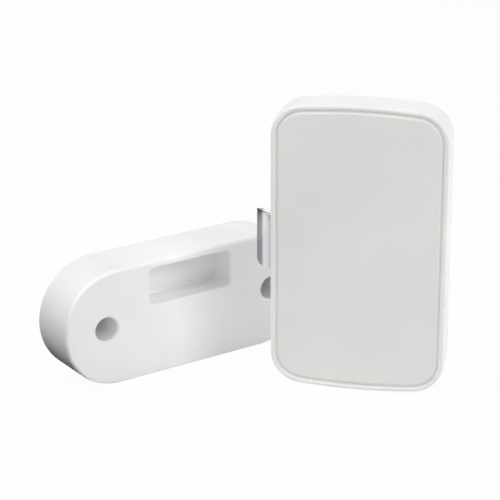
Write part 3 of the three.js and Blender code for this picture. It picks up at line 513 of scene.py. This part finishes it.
def buildCase(form):
    # skin over the profile's rings, less the cells of both openings, which get walls of their own
    profile, outerStart, innerStart = caseProfile(form)
    rings = np.stack([caseRing(offset, y) for offset, y in profile])
    rows, cols = rings.shape[:2]
    span = form["wallSteps"] - 1
    outerRows, innerRows = (outerStart, outerStart + span), (innerStart, innerStart + span)
    rearRows = (rows - 1 - innerRows[1], rows - 1 - innerRows[0])  # the inner rows, counted from the floor

    near, footFacing = 1e-6, 0.98
    baseX, baseZ = outlineBase.T
    onSlot = np.where((baseX < -form["width"] / 2 + near) & (np.abs(baseZ) < form["slotHalf"] + near))[0]
    onPort = np.where((baseZ < 0) & (np.abs(baseX - form["portX"]) < form["portReach"] + near)
                      & (np.abs(outlineIn[:, 1]) > footFacing))[0]
    keep = np.ones((rows - 1, cols), bool)
    for columns in (onSlot, onPort):
        for start, end in (outerRows, innerRows):
            keep[start:end, columns[0]:columns[-1]] = False

    def borders(columns):
        # edges of an opening in the outer and the inner wall, both once round the same way
        ends = (columns[0], columns[-1])
        return patchEdge(rings, outerRows, ends), patchEdge(rings[::-1], rearRows, ends)

    shells = [sweep(np.stack(borders(onSlot)))]  # slot walls
    arcZ = form["height"] / 2 - form["endRadius"]
    mouths = []
    for depth, border in zip((0, form["wall"]), borders(onPort)):
        angle = np.arctan2(border[:, 1] - form["portY"], border[:, 0] - form["portX"])
        x, y = stadiumAt(angle, form["portSize"])
        x = x + form["portX"]
        z = -(arcZ + np.sqrt((form["endRadius"] - depth) ** 2 - x ** 2))
        mouths.append(np.stack([x, y + form["portY"], z], -1))
        shells.append(sweep(np.stack([border, mouths[-1]])))  # wall round the mouth
    shells.append(sweep(np.stack(mouths)))

    holes = [circleLoop(x, z, form["hole"], 0) for x, z in form["wells"]]
    sunk = [circleLoop(x, z, form["hole"], form["floor"]) for x, z in form["wells"]]
    shells += [sweep(rings, keep), capFace([rings[0], *holes]), capFace([rings[-1], *sunk])]
    shells += [sweep(np.stack([a, b])) for a, b in zip(holes, sunk)]
    return shells


ribs = {
    "deep": -1.3, "sink": 0.2,
    # from the left wall: right end, front, low and high; two bolt guides, two tail rails, a fence
    "fromWall": ((-13, -8.4, -10.9, -9.7), (-14, -6.5, 9.7, 10.9), (-6, -2.9, 4.3, 5.7),
                 (-6, -2.9, -5.7, -4.3), (-10.6, -6, 29.1, 30.1)),
    # from the floor: left, right, front, low and high; the fence's side and the motor's stop
    "fromFloor": ((-11.6, -10.6, -6, 29.1, 44.6), (-2, 2, -3.5, 43.7, 44.7)),
    "seat": {"x": (2.2, 4.4), "front": -8.4, "half": 4.5, "hole": (-6.1, -3.9), "holeHalf": 1.1},
    # cheeks from and to, their front, the bed's half width and front, low and high; worm end, then motor
    "cradles": ((1.7, 2.4, -6.3, 2, -3.3, 10.1, 12.7), (3.15, 3.8, -5, 3.6, -1.8, 25.05, 27.05),
                (3.15, 3.8, -5, 3.6, -1.8, 34, 36)),
    # outer and inner radius, front, places
    "bosses": (2.4, 1, -7.8, ((-21.5, 24), (17, 39.6), (1, -38), (1, -12.4))),
    "standoffs": (1.9, 0.9, -2.65, ((21.4, 31.4), (21.4, -26.4))),
    "axleBoss": (2.2, 0.9, -3.4, ((-8.5, 16.9),)),
    "rests": (1.5, 0.15, -2.65, ((8, 12), (8, -8))),
}


def buildRibs(form, shell):
    # what stands on the floor of the case: guides, spring seat, bearings, cradles, bosses and wells
    deep = form["deep"]
    left = -shell["width"] / 2 + shell["wall"] - form["sink"]
    boxes = [(left, right, front, deep, low, high) for right, front, low, high in form["fromWall"]]
    boxes += [(x0, x1, front, deep, low, high) for x0, x1, front, low, high in form["fromFloor"]]
    seat = form["seat"]
    half, (holeFront, holeBack), holeHalf = seat["half"], seat["hole"], seat["holeHalf"]
    boxes += [(*seat["x"], *span) for span in (
        (seat["front"], holeFront, -half, half), (holeBack, deep, -half, half),
        (holeFront, holeBack, -half, -holeHalf), (holeFront, holeBack, holeHalf, half))]
    for inner, outer, front, bed, bedFront, low, high in form["cradles"]:
        boxes += [(-outer, -inner, front, deep, low, high), (inner, outer, front, deep, low, high),
                  (-bed, bed, bedFront, deep, low, high)]
    shells = [part for box in boxes for part in softBox(*box)]
    for name in ("bosses", "standoffs", "axleBoss"):
        outer, inner, front, places = form[name]
        for x, z in places:
            shells += tube(x, z, outer, inner, front, deep)
    radius, ease, front, places = form["rests"]
    for x, z in places:
        shells += turnedPost(x, z, [(radius, deep), (radius, front + ease), (radius - ease, front)])
    for x, z in shell["wells"]:
        shells += tube(x, z, shell["wellOuter"], shell["wellInner"], shell["ledge"], deep, shell["wellSteps"])
    return shells


casePiece = makePiece("caseShell", buildCase(case) + buildRibs(ribs, case), "lock", ["rear_case"],
                      finishes["caseAbs"])
steadyNormals(casePiece)
print("case built:", len(casePiece.data.polygons), "faces")


# front panel: the same outline drawn in, with a rounded edge, a flange that floors the groove, and four pegs

panel = {
    "offset": 2.25, "front": -11.5, "back": -10, "edge": 0.5, "edgeSteps": 8, "tilt": 0.63, "step": 0.05,
    "flange": 1.86, "flangeY": -11,
    "pegs": ((21.5, 17), (21.5, -22)), "peg": 1.3, "pegEnd": -8.2, "pegSink": 0.2, "pegTaper": 0.3,
}


def buildPanel(form):
    # profile of the edge: flange, a small step, then a slope that turns into the flat front
    edge, tilt, foot = form["edge"], form["tilt"], form["flangeY"] - form["step"]
    slope = (foot - form["front"] - edge * (1 - math.cos(tilt))) / math.tan(tilt)
    flatStart = form["offset"] + slope + edge * math.sin(tilt)
    profile = [(form["flange"], form["back"]), (form["flange"], form["flangeY"]),
               (form["offset"], form["flangeY"]), (form["offset"], foot)]
    profile += roundTurn((flatStart, form["front"] + edge), edge, -np.pi / 2 - tilt, form["edgeSteps"], tilt)
    shells = cappedSweep(np.stack([caseRing(offset, y) for offset, y in profile]))
    peg, end, taper = form["peg"], form["pegEnd"], form["pegTaper"]
    pegProfile = [(peg, form["back"] - form["pegSink"]), (peg, end - taper), (peg - taper, end)]
    for x, z in form["pegs"]:
        shells += turnedPost(-x, z, pegProfile) + turnedPost(x, z, pegProfile)
    return shells


panelPiece = makePiece("frontPanel", buildPanel(panel), "panel", ["front_panel"],
                       finishes["panelAbs"])
steadyNormals(panelPiece)
print("panel built")


# latch bolt: bevel that eases from steep at the tip to shallow at the front, one lower corner rounded

bolt = {
    "tip": -33.9, "back": -3.2, "front": -8.2, "half": 9.4, "corner": 2.2, "tipFlat": 0.3,
    "tipSlope": 50, "frontSlope": 27, "brow": (74, 62, 55), "edge": 0.45, "thinShare": 0.45,
    "bevelSteps": 24, "runSteps": 6, "cornerSteps": 10, "edgeSteps": 6, "sideSteps": 9,
    "shoulder": -20.5, "tailEnd": -10.3, "tailHalf": 6.4, "tailSoft": 0.2, "lap": 0.2, "channel": 2.3,
    "skin": 1.2, "root": -17, "rootShy": 0.05, "notchFoot": 3.8, "notchDepth": 1.8, "notchEnd": -11.9,
}


def buildBoltHead(form):
    # side view: blunt tip, eased bevel, flat front; each point is carried from the lower limit to the top,
    # and near both ends the bevel and front draw in along their normals, by less where the nose is thin
    tip, back, front, half, corner = form["tip"], form["back"], form["front"], form["half"], form["corner"]
    steps = form["bevelSteps"]
    slope = np.radians(np.linspace(form["tipSlope"], form["frontSlope"], steps))
    slope[:len(form["brow"])] = np.radians(form["brow"])
    drop = (front - back + form["tipFlat"]) / steps
    noseX = tip + np.concatenate([[0], np.cumsum(-drop / np.tan(slope))])
    noseY = back - form["tipFlat"] + drop * np.arange(steps + 1)
    run = np.linspace(noseX[-1], form["shoulder"], form["runSteps"])[1:]
    turn = np.concatenate([slope[:1], slope, np.zeros(len(run))])
    cornerQ = np.linspace(0, np.pi / 2, form["cornerSteps"])[1:-1]
    backX = np.concatenate([np.linspace(form["shoulder"], tip + corner, form["runSteps"]),
                            tip + corner * (1 - np.sin(cornerQ))])
    x = np.concatenate([[tip], noseX, run, backX])
    y = np.concatenate([[back], noseY, np.full(len(run), front), np.full(len(backX), back)])
    inX = np.concatenate([[0], np.sin(turn), np.zeros(len(backX))])
    inY = np.concatenate([[0], np.cos(turn), np.zeros(len(backX))])
    soft = np.minimum(form["edge"], form["thinShare"] * (back - y))
    reach = np.clip(corner - (x - tip), 0, corner)
    low = -half + corner - np.sqrt(corner ** 2 - reach ** 2)
    q = np.linspace(0, np.pi / 2, form["edgeSteps"])[:, None]
    ends = soft * (1 - np.sin(q))
    middle = np.linspace(0, 1, form["sideSteps"])[1:-1, None] * (half - low - 2 * soft) + low + soft
    z = np.concatenate([low + soft * (1 - np.cos(q)), middle, (half - soft * (1 - np.cos(q)))[::-1]])
    inset = np.concatenate([ends, np.zeros(middle.shape), ends[::-1]])
    return stoppedSweep(np.stack([x + inset * inX, y + inset * inY, z], -1))


def buildBoltTail(form):
    # bars round the spring channel, with the drive notch in front of the upper one
    half, front, back, right = form["tailHalf"], form["front"], form["back"], form["tailEnd"]
    lap, channel, foot, depth = form["lap"], form["channel"], form["notchFoot"], form["notchDepth"]
    left = form["shoulder"] - lap
    boxes = [
        (left, right, front, back, -half, -channel),  # lower bar
        (left, right, front, front + form["skin"], -channel - lap, foot),  # skin in front of the spring
        (left, form["root"], front + form["skin"] / 2, back - form["rootShy"], -channel - lap, foot),  # root
        (left, right, front + depth, back, channel, half),  # upper bar
        (form["notchEnd"], right, front, front + depth + lap, foot - lap, half),  # far end of the notch
    ]
    return [part for box in boxes for part in softBox(*box, soft=form["tailSoft"])]


headPiece = makePiece("boltHead", buildBoltHead(bolt), "bolt", ["latch_bolt"],
                      finishes["nickelPlatedZinc"])
steadyNormals(headPiece)
makePiece("boltTail", buildBoltTail(bolt), "bolt", ["latch_bolt"],
          finishes["nickelPlatedZinc"])
print("bolt built")


# keeper: stadium block turned on its foot, blind pocket, two screw recesses, ribbed hollow back

keeper = {
    "length": 94.32, "height": 39.4, "thick": 17.9, "edge": 1.2, "backEdge": 0.5, "wall": 2.2, "core": 2.6,
    "place": (-56.5, -1.5, -27.8), "yaw": 46.4, "recess": 4, "recessDepth": 11, "recessX": 32, "screw": 2.15,
    "pocket": (31.2, 9.1, 12.5), "pocketTop": 2.65, "pocketCorner": 2, "cupSkin": 0.35, "cupRound": 0.4,
    "pocketFoot": ((0, -0.6), (-0.15, -0.2), (-0.6, 0)),  # growth and depth change where its floor begins
    "lip": 0.6, "lipShares": ((1.1, 0), (1, 0.02), (0.86, 0.12), (0.12, 0.86), (0.02, 1), (0, 1.1)),
    "uprights": (9.5, 18.5, 26, 32, 37), "levels": (-8.2, 0.9), "web": 0.8, "webSoft": 0.12, "middle": 4,
    "wallLap": 0.6, "coreLap": 0.5, "cupLap": 0.3, "skinLap": 0.05, "collarReach": 5.9,
    "middleShy": 0.04, "uprightShy": 0.02, "levelShy": 0.06,  # crossing webs end at different depths
    "halfSteps": 72, "cornerSteps": 10, "frontEdgeSteps": 12, "backEdgeSteps": 5, "recessSteps": 64,
}


def stadiumRing(form, offset, y):
    # half circles of the block's height joined by straight runs, moved in by an offset
    reach = form["height"] / 2 - offset
    run = (form["length"] - form["height"]) / 2
    q = np.linspace(0, np.pi, form["halfSteps"])
    right = np.stack([run + reach * np.sin(q), reach * np.cos(q)], -1)
    return atDepth(np.concatenate([right, -right]), y)


def pocketRing(form, grow, y):
    # the pocket's rounded rectangle, grown all round
    width, depth, height = form["pocket"]
    middle = np.array([0, form["height"] / 2 - form["pocketTop"] - height / 2])
    half = np.array([width, height]) / 2 + grow
    return roundedRect(middle, half, form["pocketCorner"] + grow, y, form["cornerSteps"])


def buildKeeper(form):
    # block's skin with rounded edges, its hollow's wall, and the skins of pocket, recesses, bores and collars
    edge, rear, thick, core, lip = form["edge"], form["backEdge"], form["thick"], form["core"], form["lip"]
    profile = [(edge - edge * math.sin(a), edge - edge * math.cos(a))
               for a in np.linspace(0, np.pi / 2, form["frontEdgeSteps"])]
    profile += [(rear - rear * math.cos(a), thick - rear + rear * math.sin(a))
                for a in np.linspace(0, np.pi / 2, form["backEdgeSteps"])]
    rings = np.stack([stadiumRing(form, offset, y) for offset, y in profile])
    walls = np.stack([stadiumRing(form, form["wall"], y) for y in (thick, core)])
    soft = [(lip * a, lip * b) for a, b in form["lipShares"]]
    depth = form["pocket"][1]
    steps = soft + [(grow, depth + change) for grow, change in form["pocketFoot"]]
    pocketWall = np.stack([pocketRing(form, grow, y) for grow, y in steps])
    shells = [sweep(rings), sweep(np.stack([rings[-1], walls[0]])), sweep(walls), sweep(pocketWall),
              capFace([pocketWall[-1]])]
    mouths, sunk = [pocketWall[0]], []

    def circles(x, profile):
        # radius and y of each step turned round a screw's axis
        return np.stack([circleLoop(x, 0, r, y, form["recessSteps"]) for r, y in profile])

    for x in (-form["recessX"], form["recessX"]):
        sides = [(form["recess"] + a, b) for a, b in soft] + [(form["recess"], form["recessDepth"])]
        recess = circles(x, sides)
        bore = circles(x, [(form["screw"], y) for y in (form["recessDepth"], thick)])
        collar = circles(x, [(form["recess"] + form["wall"], y) for y in (thick, core)])
        shells += [sweep(recess), sweep(np.stack([recess[-1], bore[0]])), sweep(bore),
                   sweep(np.stack([bore[1], collar[0]])), sweep(collar)]
        mouths.append(recess[0])
        sunk.append(collar[-1])
    thin = form["cupSkin"]
    cup = np.stack([pocketRing(form, thin, core), pocketRing(form, thin, depth + thin)])
    shells += [capFace([rings[0], *mouths]), capFace([walls[-1], *sunk, cup[0]]), sweep(cup)]
    return shells + [capFace([cup[-1]])]


def buildKeeperWebs(form):
    # webs across the hollow back, cut to the rounded wall with their ends sunk in it, and the pocket's cup
    thick, wall, web, deep = form["thick"], form["wall"], form["web"], form["pocket"][1]
    start = form["core"] - form["coreLap"]
    reach = form["height"] / 2 - wall + form["wallLap"]
    run = (form["length"] - form["height"]) / 2
    cupFoot = form["height"] / 2 - form["pocketTop"] - form["pocket"][2] - wall
    cupSide = form["pocket"][0] / 2 + wall
    lap = form["cupLap"]
    collar = form["collarReach"]
    boxes = []

    def upright(x0, x1, low, high, end):
        # where it crosses the cup, the web stands below it and behind it
        if min(abs(x0), abs(x1)) < cupSide or x0 * x1 < 0:
            boxes.append((x0, x1, start, end, low, cupFoot))
            boxes.append((x0, x1, deep + wall - lap, end, cupFoot - lap, high))
        else:
            boxes.append((x0, x1, start, end, low, high))

    upright(-form["middle"], form["middle"], -reach, reach, thick - form["middleShy"])
    for x in form["uprights"]:
        tall = math.sqrt(reach ** 2 - max(x + web - run, 0) ** 2)
        spans = [(collar, tall), (-tall, -collar)] if x == form["recessX"] else [(-tall, tall)]
        for side in (-x, x):
            for low, high in spans:
                upright(side - web, side + web, low, high, thick - form["uprightShy"])
    inner, outer = form["recessX"] - collar, form["recessX"] + collar
    for z in form["levels"]:
        wide = run + math.sqrt(reach ** 2 - (abs(z) + web) ** 2)
        clear = abs(z) > collar + web
        spans = [(-wide, wide)] if clear else [(-wide, -outer), (-inner, inner), (outer, wide)]
        boxes += [(a, b, start, thick - form["levelShy"], z - web, z + web) for a, b in spans]
    shells = [part for box in boxes for part in softBox(*box, soft=form["webSoft"])]
    thin = form["cupSkin"] - form["skinLap"]
    mouth, ease = form["core"] - lap, form["cupRound"]
    cup = [(thin, deep + thin), (thin, mouth), (wall, mouth),
           (wall, deep + wall - ease), (wall - ease, deep + wall)]
    return shells + cappedSweep(np.stack([pocketRing(form, grow, y) for grow, y in cup]))


def setDown(points):
    # turned about the upright axis and moved to where the block stands
    q = math.radians(keeper["yaw"])
    turned = np.stack([points[:, 0] * math.cos(q) - points[:, 1] * math.sin(q),
                       points[:, 0] * math.sin(q) + points[:, 1] * math.cos(q), points[:, 2]], -1)
    return turned + np.array(keeper["place"])


keeperPiece = makePiece("keeperBlock", buildKeeper(keeper), "lock", ["keeper_block"],
                        finishes["keeperAbs"], setDown)
steadyNormals(keeperPiece)
makePiece("keeperWebs", buildKeeperWebs(keeper), "lock", ["keeper_block"],
          finishes["keeperAbs"], setDown)
print("keeper built")


# return spring: two halves of the coil, each made as its own piece and attached to no body

spring = {
    "radius": 1.55, "wire": 0.25, "turns": 10, "start": -16.65, "end": 1.85, "axisY": -5,
    "turnSteps": 36, "wireSteps": 10,
}


def buildCoil(form, first, last):
    # round wire carried along a helix; the section stands square to the path
    t = np.linspace(first, last, int(abs(last - first) * form["turns"] * form["turnSteps"]) + 1)
    q = 2 * np.pi * form["turns"] * t
    x = form["start"] + (form["end"] - form["start"]) * t
    path = np.stack([x, form["axisY"] + form["radius"] * np.cos(q), form["radius"] * np.sin(q)], -1)
    out = np.stack([np.zeros_like(q), np.cos(q), np.sin(q)], -1)
    along = np.gradient(path, axis=0)
    along /= np.linalg.norm(along, axis=1, keepdims=True)
    side = np.cross(along, out)
    a = 2 * np.pi * np.arange(form["wireSteps"])[None, :, None] / form["wireSteps"]
    section = np.cos(a) * out[:, None] + np.sin(a) * side[:, None]
    return stoppedSweep(path[:, None] + form["wire"] * section)


seatHalf = makePiece("springSeatHalf", buildCoil(spring, 0.5, 1), None, ["return_spring"],
                     finishes["steelBright"])
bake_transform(seatHalf)
boltHalf = makePiece("springBoltHalf", buildCoil(spring, 0, 0.5), None, ["return_spring"],
                     finishes["steelBright"])
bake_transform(boltHalf)
print("spring built")


# foam pad under the cell: flat both sides, edges swollen where the cell presses it

pad = {
    "x": (-22.2, -4.2), "y": (-2.05, -1.55), "z": (-40.3, -12.3), "swell": 0.18,
    "squareness": 0.18, "outlineSteps": 120, "layers": 9,
}


def buildPad(form):
    # squarish superellipse carried through the thickness, its outline swelling out at mid height
    low, high = np.array([form["x"], form["z"]]).T
    middle = (low + high) / 2
    half = (high - low) / 2
    q = 2 * np.pi * np.arange(form["outlineSteps"]) / form["outlineSteps"]
    way = np.stack([np.sin(q), np.cos(q)], -1)
    shape = np.sign(way) * np.abs(way) ** form["squareness"]
    t = np.linspace(0, 1, form["layers"])
    swell = form["swell"] * (np.sin(np.pi * t) - 1)
    y = form["y"][0] + (form["y"][1] - form["y"][0]) * t
    layers = [atDepth(middle + shape * (half + grow), depth) for grow, depth in zip(swell, y)]
    return cappedSweep(np.stack(layers))


padPiece = makePiece("cellFoam", buildPad(pad), "lock", ["cell_pad"], finishes["padFoam"])
print("foam pad built")


# the other pieces keep their solids and take a finish each

finishOf = {
    "caseAbs": ["inner_plate"],
    "darkNylon": ["motor_cap", "controller_chip", "buzzer", "hall_sensor", "switch_base"],
    "steelBright": ["cover_screw_1", "cover_screw_2", "cover_screw_3", "cover_screw_4",
                    "board_screw_1", "board_screw_2", "bolt_magnet", "wheel_axle", "gearbox", "motor_can",
                    "spring_rod", "radio_module", "buffer_capacitor", "charging_port"],
    "brassTurned": ["worm_shaft", "worm_bush"],
    "gearAcetal": ["drive_slider", "worm_wheel", "cell_socket", "motor_socket", "switch_button"],
    "boardLacquer": ["circuit_board"],
    "cellLaminate": ["cell_pouch"],
    "redSleeve": ["cell_lead_red", "motor_lead_red"],
    "blackSleeve": ["cell_lead_black", "motor_lead_black"],
}
for finish, nodes in finishOf.items():
    for node in nodes:
        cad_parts[node].material_slots[0].link = "OBJECT"
        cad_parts[node].material_slots[0].material = finishes[finish]
print("finishes given")


# floor, flags, lamps and world

studio = {
    "floorTone": "#E8E8E8", "floorZ": -47.5, "floorSize": 8000, "whiteShare": 0.955, "fill": 0.30,
    "lamps": {
        "topSoftbox": {"at": (120, -260, 900), "aim": (-20, 0, 0), "size": 400, "watts": 0.9},
        "leftSoftbox": {"at": (-560, -160, 640), "aim": (-40, 0, 0), "size": 500, "watts": 4.5},
        "keySoftbox": {"at": (600, -400, 580), "aim": (-20, 0, 0), "size": 250, "watts": 1.3},
        "rightSoftbox": {"at": (770, -250, 300), "aim": (-20, 0, 0), "size": 180, "watts": 1.1},
        "edgeSoftbox": {"at": (700, 260, 220), "aim": (20, 0, 0), "size": 300, "watts": 1.4},
        "frontSoftbox": {"at": (-120, -900, 300), "aim": (-20, 0, 0), "size": 300, "watts": 0.85},
    },
    "feltRough": 0.9,
    "flags": {
        "footFlag": {"at": (-163, -80, -46), "aim": None, "size": (156, 200), "tone": "#1C1C1E",
                     "mirrored": False},
        "endFlag": {"at": (-165, -70, -30), "aim": (0, -70, -30), "size": (200, 36), "tone": "#1C1C1E",
                    "mirrored": False},
        "skyFlag": {"at": (-300, 160, 190), "aim": (0, 0, 0), "size": (520, 420), "tone": "#3A3A3D",
                    "mirrored": True},
    },
}


def unit(vector):
    # vector over its own length
    return vector / np.linalg.norm(vector)


def stagePlane(name, at, aim, size, material):
    # four-cornered card facing its aim point, or lying flat where it has none
    place = np.array(at, float)
    way = np.array([0, 0, 1.0]) if aim is None else unit(np.array(aim, float) - place)
    side = unit(np.cross([0, 1.0, 0] if aim is None else [0, 0, 1.0], way))
    rise = np.cross(way, side)
    corners = np.array([[-1, -1], [1, -1], [1, 1], [-1, 1]]) * np.array(size) / 2
    points = place + corners @ np.array([side, rise])
    mesh = bpy.data.meshes.new(name)
    mesh.from_pydata((points * mm).tolist(), [], [[0, 1, 2, 3]])
    mesh.materials.append(material)
    plane = bpy.data.objects.new(name, mesh)
    scene.collection.objects.link(plane)
    return plane


def seenDirectly(tree):
    # 1 for rays that come straight from the camera, a mirror or a glass
    rays = addNode(tree, "ShaderNodeLightPath").outputs
    either = addNode(tree, "ShaderNodeMath", {"operation": "MAXIMUM"},
                     {0: rays["Is Camera Ray"], 1: rays["Is Glossy Ray"]})
    every = addNode(tree, "ShaderNodeMath", {"operation": "MAXIMUM"},
                    {0: either.outputs[0], 1: rays["Is Transmission Ray"]})
    return every.outputs[0]


def mixedSurface(tree, share, first, second):
    # two shaders by share, as the surface of a stage material
    mixed = addNode(tree, "ShaderNodeMixShader", None, {0: share, 1: first.outputs[0], 2: second.outputs[0]})
    addNode(tree, "ShaderNodeOutputMaterial", None, {"Surface": mixed.outputs["Shader"]})


def floorPaper(look):
    # matt paper sweep: mostly its own white to the eye, the rest takes the shadow
    material = bpy.data.materials.new("floorPaper")
    tree = emptyTree(material)
    matt = addNode(tree, "ShaderNodeBsdfDiffuse", {"Color": toLinear(look["floorTone"])})
    white = addNode(tree, "ShaderNodeEmission", {"Color": (1, 1, 1, 1), "Strength": 1.0})
    mixedSurface(tree, spreadOver(tree, seenDirectly(tree), 0, look["whiteShare"]), matt, white)
    return material


def feltFlag(name, tone, rough):
    # dull studio flag off the picture, clear from behind: two take light from the keeper's near end,
    # the third only shows in glossy edges
    material = bpy.data.materials.new(name)
    tree = emptyTree(material)
    felt = addNode(tree, "ShaderNodeBsdfPrincipled", {"Base Color": toLinear(tone), "Roughness": rough})
    clear = addNode(tree, "ShaderNodeBsdfTransparent")
    facing = addNode(tree, "ShaderNodeNewGeometry")
    mixedSurface(tree, facing.outputs["Backfacing"], felt, clear)
    return material


def hangLamp(name, lamp):
    # square softbox turned to its aim point
    data = bpy.data.lights.new(name, "AREA")
    data.shape = "SQUARE"
    data.size = lamp["size"] * mm
    data.energy = lamp["watts"]
    back = unit(np.array(lamp["at"], float) - np.array(lamp["aim"], float))
    right = unit(np.cross([0, 0, 1.0], back))
    standAt(bpy.data.objects.new(name, data), right, np.cross(back, right), back, lamp["at"])


def lightStage(look):
    # the room is white to the eye and in mirrors, and gives a dimmer fill to the rest
    stagePlane("floorSheet", (0, 0, look["floorZ"]), None, (look["floorSize"],) * 2, floorPaper(look))
    for name, flag in look["flags"].items():
        felt = feltFlag(name, flag["tone"], look["feltRough"])
        plane = stagePlane(name, flag["at"], flag["aim"], flag["size"], felt)
        plane.visible_camera = False
        plane.visible_shadow = False
        plane.visible_diffuse = not flag["mirrored"]
    for name, lamp in look["lamps"].items():
        hangLamp(name, lamp)
    world = bpy.data.worlds.new("studioRoom")
    tree = emptyTree(world)
    strength = spreadOver(tree, seenDirectly(tree), look["fill"], 1.0)
    room = addNode(tree, "ShaderNodeBackground", {"Color": (1, 1, 1, 1)}, {"Strength": strength})
    addNode(tree, "ShaderNodeOutputWorld", None, {"Surface": room.outputs["Background"]})
    scene.world = world


lightStage(studio)
scene.view_settings.view_transform = "Standard"
print("stage lit")
